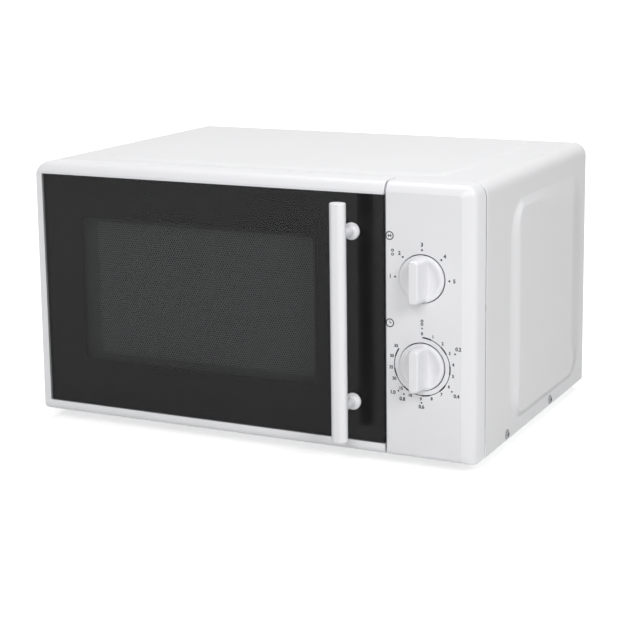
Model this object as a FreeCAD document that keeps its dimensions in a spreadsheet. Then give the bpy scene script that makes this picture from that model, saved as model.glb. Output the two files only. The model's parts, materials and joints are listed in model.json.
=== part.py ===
import FreeCAD, Part
import math
import os

import Sketcher

# Microwave oven, millimetres.  X is right seen from the front, Y runs to the rear, Z is up.
# The origin is under the middle of the whole oven, handle included, at the level of the feet.

V = FreeCAD.Vector
doc = FreeCAD.newDocument("MicrowaveOven")
sheet = doc.addObject("Spreadsheet::Sheet", "Sizes")

SIZES = (
    # outer shape
    ("cabinet_width", 437), ("cabinet_height", 238.5), ("cabinet_depth", 280),
    ("foot_height", 10), ("front_depth", 26), ("handle_reach", 34),
    ("panel_width", 81), ("seam", 1.5), ("cover_gauge", 0.8), ("cover_round", 12),
    ("emboss", 1.5), ("emboss_round", 24), ("emboss_margin", 20),
    ("top_emboss_side", 48), ("top_emboss_end", 14), ("rear_inset", 2),
    ("front_round", 9), ("edge_round", 6), ("screw_head", 8),
    # cavity
    ("sheet_gauge", 0.8), ("cavity_side_gap", 26.5), ("cavity_panel_gap", 43.5),
    ("motor_space", 22), ("cavity_top_gap", 26.5), ("cavity_rear_gap", 20),
    # door
    ("glass_thickness", 3.2), ("mask_thickness", 0.4), ("glass_margin", 7), ("glass_corner", 1),
    ("glass_sill", 9.5), ("glass_head", 11), ("ledge_depth", 4.4), ("hinge_inset", 7),
    ("hinge_back", 8), ("window_side", 40.5), ("window_right_gap", 66.5), ("window_sill", 54),
    ("window_head", 50), ("screen_rim", 9), ("door_wall", 5), ("pin_radius", 2.5),
    ("running_gap", 0.3), ("latch_travel", 4),
    # handle
    ("bar_width", 14), ("bar_depth", 12), ("bar_round", 5.2), ("handle_inset", 29.5), ("bar_drop", 15.5),
    ("bar_rise", 16), ("post_inset", 28.5), ("post_radius", 4.1), ("collar_radius", 7.5),
    # knobs
    ("knob_radius", 20.2), ("knob_gap", 0.8), ("knob_sink", 1.4), ("knob_skirt", 4),
    ("grip_reach", 17.5), ("grip_width", 10), ("knob_offset", 7), ("power_height", 158),
    ("timer_height", 82), ("spindle_radius", 3), ("panel_wall", 2.5),
    # turntable
    ("turntable_gap", 7), ("plate_thickness", 5), ("wheel_radius", 7), ("wheel_width", 6),
    ("wheel_track", 94),
    # electrical parts
    ("core_width", 78), ("core_depth", 50), ("core_height", 62), ("magnetron_depth", 80),
    ("magnetron_height", 70), ("fan_size", 100), ("blade_radius", 42),
)
for row, (alias, value) in enumerate(SIZES, start=1):
    sheet.set(f"A{row}", alias)
    sheet.set(f"B{row}", str(value))
    sheet.setAlias(f"B{row}", alias)
doc.recompute()


class Size:
    """A length that knows its value and the sheet expression that gives it."""

    def __init__(self, value, text=None):
        self.value = float(value)
        self.text = text or f"{float(value):g}"

    def joined(self, other, sign, value, swap=False):
        pair = (size(other).text, self.text) if swap else (self.text, size(other).text)
        return Size(value, f"({pair[0]} {sign} {pair[1]})")

    def __add__(self, other):
        return self.joined(other, "+", self.value + size(other).value)

    def __radd__(self, other):
        return self.joined(other, "+", size(other).value + self.value, swap=True)

    def __sub__(self, other):
        return self.joined(other, "-", self.value - size(other).value)

    def __rsub__(self, other):
        return self.joined(other, "-", size(other).value - self.value, swap=True)

    def __mul__(self, other):
        return self.joined(other, "*", self.value * size(other).value)

    def __rmul__(self, other):
        return self.joined(other, "*", self.value * size(other).value, swap=True)

    def __truediv__(self, other):
        return self.joined(other, "/", self.value / size(other).value)

    def __neg__(self):
        return Size(-self.value, f"(0 - {self.text})")


def size(value):
    return value if isinstance(value, Size) else Size(value)


def smaller(one, two):
    one, two = size(one), size(two)
    return Size(min(one.value, two.value), f"min({one.text}; {two.text})")


def bind(owner, name, value):
    """Set a property to a plain number, or tie it to the sheet."""
    value = size(value)
    if "Sizes." in value.text:
        owner.setExpression(name, value.text)
    else:
        owner.setExpression(name, None)
    return value.value


class Named:
    """The sheet's sizes as attributes."""


s = Named()
for alias, value in SIZES:
    setattr(s, alias, Size(value, f"Sizes.{alias}"))

TURNS = {
    "X": FreeCAD.Rotation(V(0, 1, 0), 90),
    "Y": FreeCAD.Rotation(V(1, 0, 0), -90),
    "Z": FreeCAD.Rotation(),
}


def place(shape, x, y, z, turn=None):
    """Place an object at a point whose coordinates may be tied to the sheet."""
    x, y, z = size(x), size(y), size(z)
    shape.Placement = FreeCAD.Placement(V(x.value, y.value, z.value), turn or FreeCAD.Rotation())
    for axis, value in (("x", x), ("y", y), ("z", z)):
        bind(shape, f"Placement.Base.{axis}", value)
    return shape


def box(name, x, y, z):
    """A block between a low and a high value on each axis."""
    shape = doc.addObject("Part::Box", name)
    for side, (low, high) in (("Length", x), ("Width", y), ("Height", z)):
        setattr(shape, side, bind(shape, side, size(high) - low))
    return place(shape, x[0], y[0], z[0])


def rod(name, along, centre, radius, span):
    """A cylinder along one axis; centre holds its place on the other two axes, in order."""
    shape = doc.addObject("Part::Cylinder", name)
    shape.Radius = bind(shape, "Radius", radius)
    shape.Height = bind(shape, "Height", size(span[1]) - span[0])
    first, second = centre
    at = {"X": (span[0], first, second), "Y": (first, span[0], second),
          "Z": (first, second, span[0])}[along]
    return place(shape, *at, TURNS[along])


def cone(name, along, centre, radii, span):
    shape = doc.addObject("Part::Cone", name)
    shape.Radius1 = bind(shape, "Radius1", radii[0])
    shape.Radius2 = bind(shape, "Radius2", radii[1])
    shape.Height = bind(shape, "Height", size(span[1]) - span[0])
    first, second = centre
    at = {"X": (span[0], first, second), "Y": (first, span[0], second),
          "Z": (first, second, span[0])}[along]
    return place(shape, *at, TURNS[along])


def plus(name, *shapes):
    shape = doc.addObject("Part::MultiFuse", name)
    shape.Shapes = list(shapes)
    return shape


def minus(name, base, *tools):
    shape = doc.addObject("Part::Cut", name)
    shape.Base = base
    shape.Tool = tools[0] if len(tools) == 1 else plus(f"{name}_holes", *tools)
    return shape


def both(name, *shapes):
    """Several solids kept as one sub-part, such as a set of screws."""
    shape = doc.addObject("Part::Compound", name)
    shape.Links = list(shapes)
    return shape


def turned(name, shape, centre, angle, axis=(0, 0, 1)):
    """A copy of a shape turned about a line through a point."""
    copy = doc.addObject("Part::Compound", name)
    copy.Links = [shape]
    x, y, z = (size(value) for value in centre)
    turn = FreeCAD.Rotation(V(*axis), angle)
    at = V(x.value, y.value, z.value)
    copy.Placement = FreeCAD.Placement(at - turn.multVec(at), turn)
    cos, sin = math.cos(math.radians(angle)), math.sin(math.radians(angle))
    if axis == (0, 0, 1):
        bind(copy, "Placement.Base.x", x - x * cos + y * sin)
        bind(copy, "Placement.Base.y", y - x * sin - y * cos)
    return copy


class Body:
    """One sub-part made as a PartDesign body, feature by feature."""

    PLANES = {"X": "YZ_Plane", "Y": "XZ_Plane", "Z": "XY_Plane"}

    def __init__(self, name):
        self.name = name
        self.body = doc.addObject("PartDesign::Body", name)
        self.count = 0

    def origin(self, role):
        return next(item for item in self.body.Origin.OriginFeatures if item.Role == role)

    def sketch(self, along, at):
        """A sketch across one axis, at a place on it."""
        self.count += 1
        sketch = self.body.newObject("Sketcher::SketchObject", f"{self.name}_sketch{self.count}")
        sketch.AttachmentSupport = [(self.origin(self.PLANES[along]), "")]
        sketch.MapMode = "FlatFace"
        offset = -size(at) if along == "Y" else size(at)
        sketch.AttachmentOffset = FreeCAD.Placement(V(0, 0, offset.value), FreeCAD.Rotation())
        bind(sketch, "AttachmentOffset.Base.z", offset)
        return sketch

    def fix(self, sketch, kind, *where):
        """Add a constraint whose last item is a size."""
        value = size(where[-1])
        index = sketch.addConstraint(Sketcher.Constraint(kind, *where[:-1], value.value))
        if "Sizes." in value.text:
            sketch.setExpression(f"Constraints[{index}]", value.text)

    def rectangle(self, sketch, u, v, corner=0):
        """A rectangle between two values on each sketch axis, its corners round or square."""
        (left, right), (low, high), corner = map(size, u), map(size, v), size(corner)
        r = corner.value
        l, rt, b, t = left.value, right.value, low.value, high.value
        first = sketch.GeometryCount
        for start, end in (((l + r, b), (rt - r, b)), ((rt, b + r), (rt, t - r)),
                           ((rt - r, t), (l + r, t)), ((l, t - r), (l, b + r))):
            sketch.addGeometry(Part.LineSegment(V(*start, 0), V(*end, 0)))
        tie = sketch.addConstraint
        for side in (0, 2):
            tie(Sketcher.Constraint("Horizontal", first + side))
            tie(Sketcher.Constraint("Vertical", first + side + 1))
        if r > 0:
            for cx, cy, turn in ((rt - r, b + r, -90), (rt - r, t - r, 0), (l + r, t - r, 90),
                                 (l + r, b + r, 180)):
                circle = Part.Circle(V(cx, cy, 0), V(0, 0, 1), r)
                angles = math.radians(turn), math.radians(turn + 90)
                sketch.addGeometry(Part.ArcOfCircle(circle, *angles))
            for side in range(4):
                arc = first + 4 + side
                tie(Sketcher.Constraint("Tangent", first + side, 2, arc, 1))
                tie(Sketcher.Constraint("Tangent", arc, 2, first + (side + 1) % 4, 1))
                if side:
                    tie(Sketcher.Constraint("Equal", first + 4, arc))
            self.fix(sketch, "Radius", first + 4, corner)
        else:
            for side in range(4):
                tie(Sketcher.Constraint("Coincident", first + side, 2, first + (side + 1) % 4, 1))
        self.fix(sketch, "DistanceX", first + 3, 1, left)
        self.fix(sketch, "DistanceX", first + 1, 1, right)
        self.fix(sketch, "DistanceY", first, 1, low)
        self.fix(sketch, "DistanceY", first + 2, 1, high)

    def circle(self, sketch, u, v, radius):
        u, v, radius = size(u), size(v), size(radius)
        index = sketch.addGeometry(Part.Circle(V(u.value, v.value, 0), V(0, 0, 1), radius.value))
        self.fix(sketch, "DistanceX", index, 3, u)
        self.fix(sketch, "DistanceY", index, 3, v)
        self.fix(sketch, "Radius", index, radius)

    def outline(self, sketch, points):
        """A closed outline of straight lines."""
        spots = [(size(u), size(v)) for u, v in points]
        first = sketch.GeometryCount
        count = len(spots)
        for index, (u, v) in enumerate(spots):
            next_u, next_v = spots[(index + 1) % count]
            sketch.addGeometry(Part.LineSegment(V(u.value, v.value, 0),
                                                V(next_u.value, next_v.value, 0)))
        for index, (u, v) in enumerate(spots):
            sketch.addConstraint(Sketcher.Constraint("Coincident", first + index, 2,
                                                     first + (index + 1) % count, 1))
            self.fix(sketch, "DistanceX", first + index, 1, u)
            self.fix(sketch, "DistanceY", first + index, 1, v)

    def extrude(self, sketch, span, remove):
        kind = "Pocket" if remove else "Pad"
        feature = self.body.newObject(f"PartDesign::{kind}", f"{self.name}_{kind}{self.count}")
        feature.Profile = sketch
        feature.Length = bind(feature, "Length", size(span[1]) - span[0])
        feature.Reversed = remove
        sketch.Visibility = False
        return feature

    def start(self, along, span):
        """The end of a span from which a pad along the plane's normal fills it."""
        return span[1] if along == "Y" else span[0]

    def block(self, x, y, z, corner=0, along="Z", remove=False):
        """A block or, with remove, a hollow; corner rounds its edges along one axis."""
        span, u, v = {"X": (x, y, z), "Y": (y, x, z), "Z": (z, x, y)}[along]
        sketch = self.sketch(along, self.start(along, span))
        self.rectangle(sketch, u, v, corner)
        return self.extrude(sketch, span, remove)

    def hollow(self, x, y, z, corner=0, along="Z"):
        return self.block(x, y, z, corner, along, remove=True)

    def rod(self, along, centre, radius, span, remove=False):
        sketch = self.sketch(along, self.start(along, span))
        self.circle(sketch, *centre, radius)
        return self.extrude(sketch, span, remove)

    def bore(self, along, centre, radius, span):
        return self.rod(along, centre, radius, span, remove=True)

    def spin(self, along, at, points, line):
        """A revolved outline drawn across one axis at a place, turned about a sketch line."""
        sketch = self.sketch(along, at)
        self.outline(sketch, points)
        (u1, v1), (u2, v2) = line
        index = sketch.addGeometry(Part.LineSegment(V(size(u1).value, size(v1).value, 0),
                                                    V(size(u2).value, size(v2).value, 0)))
        sketch.toggleConstruction(index)
        for point, u, v in ((1, u1, v1), (2, u2, v2)):
            self.fix(sketch, "DistanceX", index, point, u)
            self.fix(sketch, "DistanceY", index, point, v)
        feature = self.body.newObject("PartDesign::Revolution", f"{self.name}_turned{self.count}")
        feature.Profile = sketch
        feature.ReferenceAxis = (sketch, ["Axis0"])
        feature.Angle = 360
        sketch.Visibility = False
        return feature

    def repeat(self, feature, axis, length, copies):
        """Copies of a feature in a row."""
        self.count += 1
        row = self.body.newObject("PartDesign::LinearPattern", f"{self.name}_row{self.count}")
        row.Originals = [feature]
        row.Direction = (self.origin(f"{axis}_Axis"), [""])
        row.Length = bind(row, "Length", length)
        row.Occurrences = copies
        self.body.Tip = row
        return row

    def around(self, feature, axis_line, copies):
        """Copies of a feature round a sketch line."""
        self.count += 1
        ring = self.body.newObject("PartDesign::PolarPattern", f"{self.name}_ring{self.count}")
        ring.Originals = [feature]
        ring.Axis = axis_line
        ring.Angle = 360
        ring.Occurrences = copies
        self.body.Tip = ring
        return ring

    def edges(self, test):
        """Names of the tip's edges whose bounding box passes a test."""
        doc.recompute()
        shape = self.body.Tip.Shape
        return [f"Edge{number}" for number, edge in enumerate(shape.Edges, start=1)
                if test(edge.BoundBox)]

    def soften(self, test, radius):
        """Round the edges whose bounding box passes a test."""
        names = self.edges(test)
        tip = self.body.Tip
        self.count += 1
        feature = self.body.newObject("PartDesign::Fillet", f"{self.name}_round{self.count}")
        feature.Base = (tip, names)
        feature.Radius = bind(feature, "Radius", radius)
        tip.Visibility = False
        return feature


def near(one, two):
    return abs(one - size(two).value) < 0.01


# Places that several sub-parts share
half = s.cabinet_width / 2
left, right = -half, half
wall = half - s.cover_gauge
y_handle = -(s.cabinet_depth + s.front_depth + s.handle_reach) / 2
y_front = y_handle + s.handle_reach
y_edge = y_front + s.front_depth
y_door = y_edge - s.seam
y_back = y_edge + s.cabinet_depth
y_rear = y_back - s.rear_inset
y_sheet = y_edge + s.sheet_gauge
z_low = s.foot_height
z_floor = z_low + s.sheet_gauge
z_high = z_low + s.cabinet_height
z_roof = z_high - s.cover_gauge
panel_left = half - s.panel_width
door_right = panel_left - s.seam
cavity = (left + s.cavity_side_gap, panel_left - s.cavity_panel_gap)
cavity_z = (z_low + s.motor_space, z_high - s.cavity_top_gap)
cavity_y = (y_sheet, y_back - s.cavity_rear_gap)
shell_right = cavity[1] + s.sheet_gauge
table_x = (cavity[0] + cavity[1]) / 2
table_y = (cavity_y[0] + cavity_y[1]) / 2
table_radius = smaller(cavity[1] - cavity[0], cavity_y[1] - cavity_y[0]) / 2 - s.turntable_gap
knob_x = (panel_left + right) / 2 - s.knob_offset
power_z = z_low + s.power_height
timer_z = z_low + s.timer_height
hinge = (left + s.hinge_inset, y_door - s.hinge_back)

parts = {}


def keep(shape, name=None):
    """Count an object as a sub-part under its own name."""
    owner = shape.body if isinstance(shape, Body) else shape
    owner.Label = name or owner.Name
    parts[owner.Label] = owner
    return owner


# Cabinet

def cabinet_cover():
    """The painted wrap: two sides and the top in one sheet, with raised panels."""
    g = s.cover_gauge
    cover = Body("cabinet_cover")
    cover.block((left, right), (y_edge, y_back), (z_low - 2 * s.cover_round, z_high),
                s.cover_round, "Y")
    rise = (z_low + s.emboss_margin, z_high - s.emboss_margin - s.emboss_round / 2)
    run = (y_edge + 75, y_back - s.top_emboss_end)
    for low, high in ((right - g, right + s.emboss), (left - s.emboss, left + g)):
        cover.block((low, high), run, rise, s.emboss_round, "X")
    top_x = (left + s.top_emboss_side, right - s.top_emboss_side)
    top_y = (y_edge + s.top_emboss_end, y_back - s.top_emboss_end)
    cover.block(top_x, top_y, (z_high - g, z_high + s.emboss), s.emboss_round, "Z")
    inset = s.emboss_round - g
    for low, high in ((right - g, right - g + s.emboss), (left + g - s.emboss, left + g)):
        cover.hollow((low, high), (run[0] + g, run[1] - g), (rise[0] + g, rise[1] - g), inset, "X")
    cover.hollow((top_x[0] + g, top_x[1] - g), (top_y[0] + g, top_y[1] - g),
                 (z_high - g, z_high - g + s.emboss), inset, "Z")
    cover.hollow((left + g, right - g), (y_edge, y_back), (z_low - 3 * s.cover_round, z_roof),
                 s.cover_round - g, "Y")
    cover.hollow((left - s.emboss, right + s.emboss), (y_edge, y_back),
                 (z_low - 3 * s.cover_round, z_low))
    for y in screw_rows():
        cover.bore("X", (y, screw_z), 2, (left - 1, right + 1))
    keep(cover)


screw_z = z_low + 5


def screw_rows():
    """Places along the side of the screws that hold the cover."""
    return y_edge + 56, y_back - 103


def cabinet_screws():
    shapes = []
    for side, (inner, outer) in (("left", (left + 6, left)), ("right", (right - 6, right))):
        sign = 1 if side == "right" else -1
        for number, y in enumerate(screw_rows(), start=1):
            low, high = (inner, outer) if sign > 0 else (outer, inner)
            shank = rod(f"screw_shank_{side}{number}", "X", (y, screw_z), 2, (low, high))
            head_span = (right, right + s.emboss) if sign > 0 else (left - s.emboss, left)
            head = rod(f"screw_head_{side}{number}", "X", (y, screw_z), s.screw_head / 2, head_span)
            deep = 0.9
            slot_x = (right + s.emboss - deep, right + 3) if sign > 0 else \
                (left - 3, left - s.emboss + deep)
            cross = [box(f"cross_{side}{number}{mark}", slot_x, (y - a, y + a),
                         (screw_z - b, screw_z + b))
                     for mark, a, b in (("a", 2, 0.4), ("b", 0.4, 2))]
            shapes.append(minus(f"screw_{side}{number}", plus(f"screw_blank_{side}{number}",
                                                              shank, head), *cross))
    keep(both("cabinet_screws", *shapes))


def base_plate():
    """The floor of the cabinet with its turned-up side flanges."""
    base = Body("base_plate")
    g = s.sheet_gauge
    base.block((-wall, wall), (y_sheet, y_rear), (z_low, z_low + 14))
    base.hollow((-wall + g, wall - g), (y_sheet, y_rear), (z_floor, z_low + 14))
    for y in screw_rows():
        base.bore("X", (y, screw_z), 2, (-wall - 1, wall + 1))
    slot = base.hollow((shell_right + 24, shell_right + 74), (y_back - 76, y_back - 72),
                       (z_low, z_floor))
    base.repeat(slot, "Y", 42, 6)
    for x, y in foot_places():
        base.bore("Z", (x, y), 3, (z_low, z_floor))
    keep(base)


def foot_places():
    across, front, rear = half - 34, y_edge + 30, y_back - 34
    return [(x, y) for x in (-across, across) for y in (front, rear)]


def feet():
    shapes = []
    for number, (x, y) in enumerate(foot_places(), start=1):
        pad = cone(f"foot_pad{number}", "Z", (x, y), (8, 10), (0, s.foot_height))
        stem = rod(f"foot_stem{number}", "Z", (x, y), 3, (z_low, z_low + 4))
        barb = cone(f"foot_barb{number}", "Z", (x, y), (3.6, 2.2), (z_floor, z_low + 4))
        shapes.append(plus(f"foot{number}", pad, stem, barb))
    keep(both("feet", *shapes))


def rear_panel():
    """The back wall, with air slots, standing inside the cover."""
    rear = Body("rear_panel")
    g = s.sheet_gauge
    rear.block((-wall, wall), (y_rear, y_rear + g), (z_low, z_roof), s.cover_round - s.cover_gauge,
               "Y")
    rear.block((-wall, wall), (y_rear, y_rear + g), (z_low, z_low + s.cover_round))
    slot = rear.hollow((fan_x[0] + 12, fan_x[1] - 12), (y_rear, y_rear + g),
                       (fan_z[0] + 14, fan_z[0] + 18), 1.9, "Y")
    rear.repeat(slot, "Z", s.fan_size - 32, 10)
    low_slot = rear.hollow((cavity[0] + 30, cavity[0] + 110), (y_rear, y_rear + g),
                           (z_low + 60, z_low + 64), 1.9, "Y")
    rear.repeat(low_slot, "Z", 54, 7)
    rear.bore("Y", (gland_x, gland_z), 8, (y_rear, y_rear + g))
    keep(rear)


def front_frame():
    """The steel front plate round the cavity mouth."""
    frame = Body("front_frame")
    span = (y_edge, y_sheet)
    frame.block((-wall, wall), span, (z_low, z_roof), s.cover_round - s.cover_gauge, "Y")
    frame.block((-wall, wall), span, (z_low, z_low + s.cover_round))
    frame.hollow(cavity, span, cavity_z, 5, "Y")
    frame.hollow((panel_left + 10, right - 13), span, (z_low + 38, z_low + 192), 3, "Y")
    for low, high in hook_spans():
        frame.hollow((hook_x[0] - 3, hook_x[1] + 3.5), span, (low - 2, high + s.latch_travel + 2),
                     1, "Y")
    for low, high in (tab_upper, tab_lower):
        frame.hollow((hinge[0] - 6, hinge[0] + 6), span, (low - 0.5, high + 0.5))
    keep(frame)


def cord_gland():
    flange = rod("gland_flange", "Y", (gland_x, gland_z), 10,
                 (y_rear + s.sheet_gauge, y_rear + s.sheet_gauge + 1))
    neck = rod("gland_neck", "Y", (gland_x, gland_z), 7.9, (y_rear - 2, y_rear + s.sheet_gauge))
    collar = rod("gland_collar", "Y", (gland_x, gland_z), 9.5, (y_rear - 6, y_rear))
    bore = rod("gland_bore", "Y", (gland_x, gland_z), 3.6, (y_rear - 7, y_back + 1))
    keep(minus("cord_gland", plus("gland_body", flange, neck, collar), bore))


# Cavity

def cavity_liner():
    """The enamelled cooking cavity, open at the front."""
    g = s.sheet_gauge
    liner = Body("cavity_liner")
    liner.block((cavity[0] - g, cavity[1] + g), (cavity_y[0], cavity_y[1] + g),
                (cavity_z[0] - g, cavity_z[1] + g), 6, "Y")
    liner.hollow(cavity, cavity_y, cavity_z, 5, "Y")
    liner.bore("Z", (table_x, table_y), 5, (cavity_z[0] - g, cavity_z[0]))
    liner.hollow((cavity[1], cavity[1] + g), port_y, port_z, 3, "X")
    vent = liner.hollow((cavity[1], cavity[1] + g), (duct_y[0] + 8, duct_y[0] + 12),
                        (duct_z[0] + 8, duct_z[1] - 8), 1.9, "X")
    liner.repeat(vent, "Y", 30, 6)
    liner.bore("X", (lamp_y, lamp_z), 8, (cavity[1], cavity[1] + g))
    keep(liner)


def waveguide():
    """The duct on the cavity wall that carries the microwaves to the port."""
    g = s.sheet_gauge
    guide = Body("waveguide")
    x = (shell_right, magnetron_x[0])
    guide.block(x, guide_y, guide_z)
    guide.hollow((x[0], x[1] - g), (guide_y[0] + g, guide_y[1] - g),
                 (guide_z[0] + g, guide_z[1] - g))
    guide.bore("X", (antenna_y, antenna_z), 10, (x[1] - g, x[1]))
    keep(guide)


def waveguide_cover():
    keep(box("waveguide_cover", (cavity[1] - 0.6, cavity[1]), (port_y[0] - 8, port_y[1] + 8),
             (port_z[0] - 8, port_z[1] + 8)))


def magnetron():
    y, z = magnetron_y, magnetron_z
    yoke = Body("magnetron_body")
    yoke.block((magnetron_x[0], magnetron_x[0] + 62), y, z)
    yoke.hollow((magnetron_x[0] + 2, magnetron_x[0] + 60), y, (z[0] + 2, z[1] - 2))
    yoke.bore("X", (antenna_y, antenna_z), 9, (magnetron_x[0], magnetron_x[0] + 2))
    yoke.block((magnetron_x[0] + 62, magnetron_x[0] + 82), (antenna_y - 28, antenna_y + 28),
               (z[0] + 10, z[1] - 10))
    keep(yoke)
    first, last = magnetron_x[0] + 2, magnetron_x[0] + 60
    anode = rod("anode", "X", (antenna_y, antenna_z), 20, (first, last))
    fins = [box(f"fin{number}", (first + 7 + 8 * number, first + 8 + 8 * number),
                (y[0] + 3, y[1] - 3), (z[0] + 2, z[1] - 2)) for number in range(6)]
    keep(plus("magnetron_fins", anode, *fins))
    foot = rod("antenna_foot", "X", (antenna_y, antenna_z), 8, (magnetron_x[0] - 9, first))
    cap = rod("antenna_cap", "X", (antenna_y, antenna_z), 6.5,
              (magnetron_x[0] - 20, magnetron_x[0] - 9))
    keep(plus("magnetron_antenna", foot, cap))


def transformer():
    x = (shell_right + 16, shell_right + 16 + s.core_width)
    y = (y_edge + 68, y_edge + 68 + s.core_depth)
    z = (z_floor, z_floor + s.core_height)
    yoke = s.core_width / 6
    core = Body("transformer_core")
    core.block(x, y, z)
    for low in (x[0] + yoke, x[1] - 2 * yoke):
        core.hollow((low, low + yoke), y, (z[0] + yoke, z[1] - yoke))
    for y0 in (y[0] - 8, y[1]):
        core.block((x[0], x[1]), (y0, y0 + 8), (z[0], z[0] + 3))
    keep(core)
    coil = Body("transformer_windings")
    gap = 0.8
    coil.block((x[0] + yoke + gap, x[1] - yoke - gap), (y[0] - 15, y[1] + 15),
               (z[0] + yoke + gap, z[1] - yoke - gap), 9)
    coil.hollow((x[0] + 2 * yoke, x[1] - 2 * yoke), y, (z[0] + yoke, z[1] - yoke))
    keep(coil)


def capacitor():
    x = (shell_right + 22, shell_right + 74)
    y = (y_back - 134, y_back - 102)
    can = Body("capacitor")
    can.block(x, y, (z_floor, z_floor + 84), 15)
    for shift in (-12, 12):
        middle = (x[0] + x[1]) / 2 + shift
        can.block((middle - 3, middle + 3), ((y[0] + y[1]) / 2 - 0.4, (y[0] + y[1]) / 2 + 0.4),
                  (z_floor + 84, z_floor + 96))
    keep(can)
    strap = Body("capacitor_bracket")
    strap.block((x[0] - 1, x[1] + 1), (y[0] - 1, y[1] + 1), (z_floor, z_floor + 26), 16)
    strap.hollow(x, y, (z_floor, z_floor + 26), 15)
    strap.block((x[1] + 1, x[1] + 14), (y[1] - 20, y[1] - 8), (z_floor, z_floor + 1))
    keep(strap)


def diode():
    x, y = shell_right + 98, y_back - 108
    tube = rod("diode_tube", "Z", (x, y), 4, (z_floor + 3, z_floor + 22))
    foot = box("diode_foot", (x - 6, x + 6), (y - 5, y + 5), (z_floor, z_floor + 3))
    keep(plus("diode", tube, foot))


def fan():
    """The cooling fan: frame on the rear panel, motor on its arms."""
    centre = (fan_cx, fan_cz)
    y = (y_rear - 20, y_rear)
    shroud = Body("fan_shroud")
    shroud.block(fan_x, y, fan_z, 6, "Y")
    shroud.bore("Y", centre, s.blade_radius + 4, y)
    for a, b in ((s.fan_size / 2, 5), (5, s.fan_size / 2)):
        shroud.block((fan_cx - a, fan_cx + a), (y[0], y[0] + 3), (fan_cz - b, fan_cz + b))
    shroud.bore("Y", centre, 3, (y[0], y[0] + 3))
    keep(shroud)
    motor = Body("fan_motor")
    motor.block((fan_cx - 22, fan_cx + 22), (y[0] - 16, y[0]), (fan_cz - 18, fan_cz + 18))
    motor.bore("Y", centre, 2, (y[0] - 16, y[0]))
    keep(motor)
    keep(rod("fan_shaft", "Y", centre, 1.5, (y[0] - 15, y[0] + 14)))
    hub = rod("fan_hub", "Y", centre, 9, (y[0] + 4.5, y[0] + 15))
    blade = box("fan_blade", (fan_cx + 7, fan_cx + s.blade_radius), (y[0] + 9, y[0] + 10.2),
                (fan_cz - 11, fan_cz + 11))
    pitched = doc.addObject("Part::Compound", "pitched_blade")
    pitched.Links = [blade]
    turn = FreeCAD.Rotation(V(1, 0, 0), 24)
    at = V(0, (y[0] + 9.6).value, fan_cz.value)
    pitched.Placement = FreeCAD.Placement(at - turn.multVec(at), turn)
    cos, sin = math.cos(math.radians(24)), math.sin(math.radians(24))
    bind(pitched, "Placement.Base.y", (y[0] + 9.6) * (1 - cos) + fan_cz * sin)
    bind(pitched, "Placement.Base.z", fan_cz * (1 - cos) - (y[0] + 9.6) * sin)
    blades = []
    for number in range(4):
        copy = doc.addObject("Part::Compound", f"blade{number + 1}")
        copy.Links = [pitched]
        angle = 90 * number
        turn = FreeCAD.Rotation(V(0, 1, 0), angle)
        at = V(fan_cx.value, 0, fan_cz.value)
        copy.Placement = FreeCAD.Placement(at - turn.multVec(at), turn)
        cos, sin = round(math.cos(math.radians(angle))), round(math.sin(math.radians(angle)))
        bind(copy, "Placement.Base.x", fan_cx * (1 - cos) - fan_cz * sin)
        bind(copy, "Placement.Base.z", fan_cz * (1 - cos) + fan_cx * sin)
        blades.append(copy)
    bore = rod("fan_hub_bore", "Y", centre, 1.5, (y[0], y[0] + 14))
    keep(minus("fan_blades", plus("fan_wheel", hub, *blades), bore))


def air_duct():
    duct = Body("air_duct")
    x = (shell_right, shell_right + 24)
    duct.block(x, duct_y, duct_z)
    duct.hollow((x[0], x[1] - 1.5), (duct_y[0] + 1.5, duct_y[1] - 1.5),
                (duct_z[0] + 1.5, duct_z[1] - 1.5))
    duct.hollow((x[0] + 5, x[1] - 4), (duct_y[1] - 1.5, duct_y[1]),
                (duct_z[0] + 6, duct_z[1] - 6))
    keep(duct)


def lamp():
    socket = Body("lamp_socket")
    socket.block((shell_right, shell_right + 34), (lamp_y - 14, lamp_y + 14),
                 (lamp_z - 14, lamp_z + 14), 3, "X")
    socket.bore("X", (lamp_y, lamp_z), 11, (shell_right, shell_right + 26))
    keep(socket)
    base = rod("lamp_cap", "X", (lamp_y, lamp_z), 6, (shell_right + 18, shell_right + 26))
    globe = rod("lamp_globe", "X", (lamp_y, lamp_z), 8.5, (shell_right + 3, shell_right + 18))
    keep(plus("lamp_bulb", base, globe))


def thermal_cutout():
    y, z = y_edge + 130, cavity_z[0] + 48
    disc = rod("cutout_disc", "X", (y, z), 8, (shell_right, shell_right + 7))
    tabs = [box(f"cutout_tab{side}", (shell_right + 7, shell_right + 15), (y + a - 3, y + a + 3),
                (z - 0.4, z + 0.4)) for side, a in (("a", -4.5), ("b", 4.5))]
    keep(plus("thermal_cutout", disc, *tabs))


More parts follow.
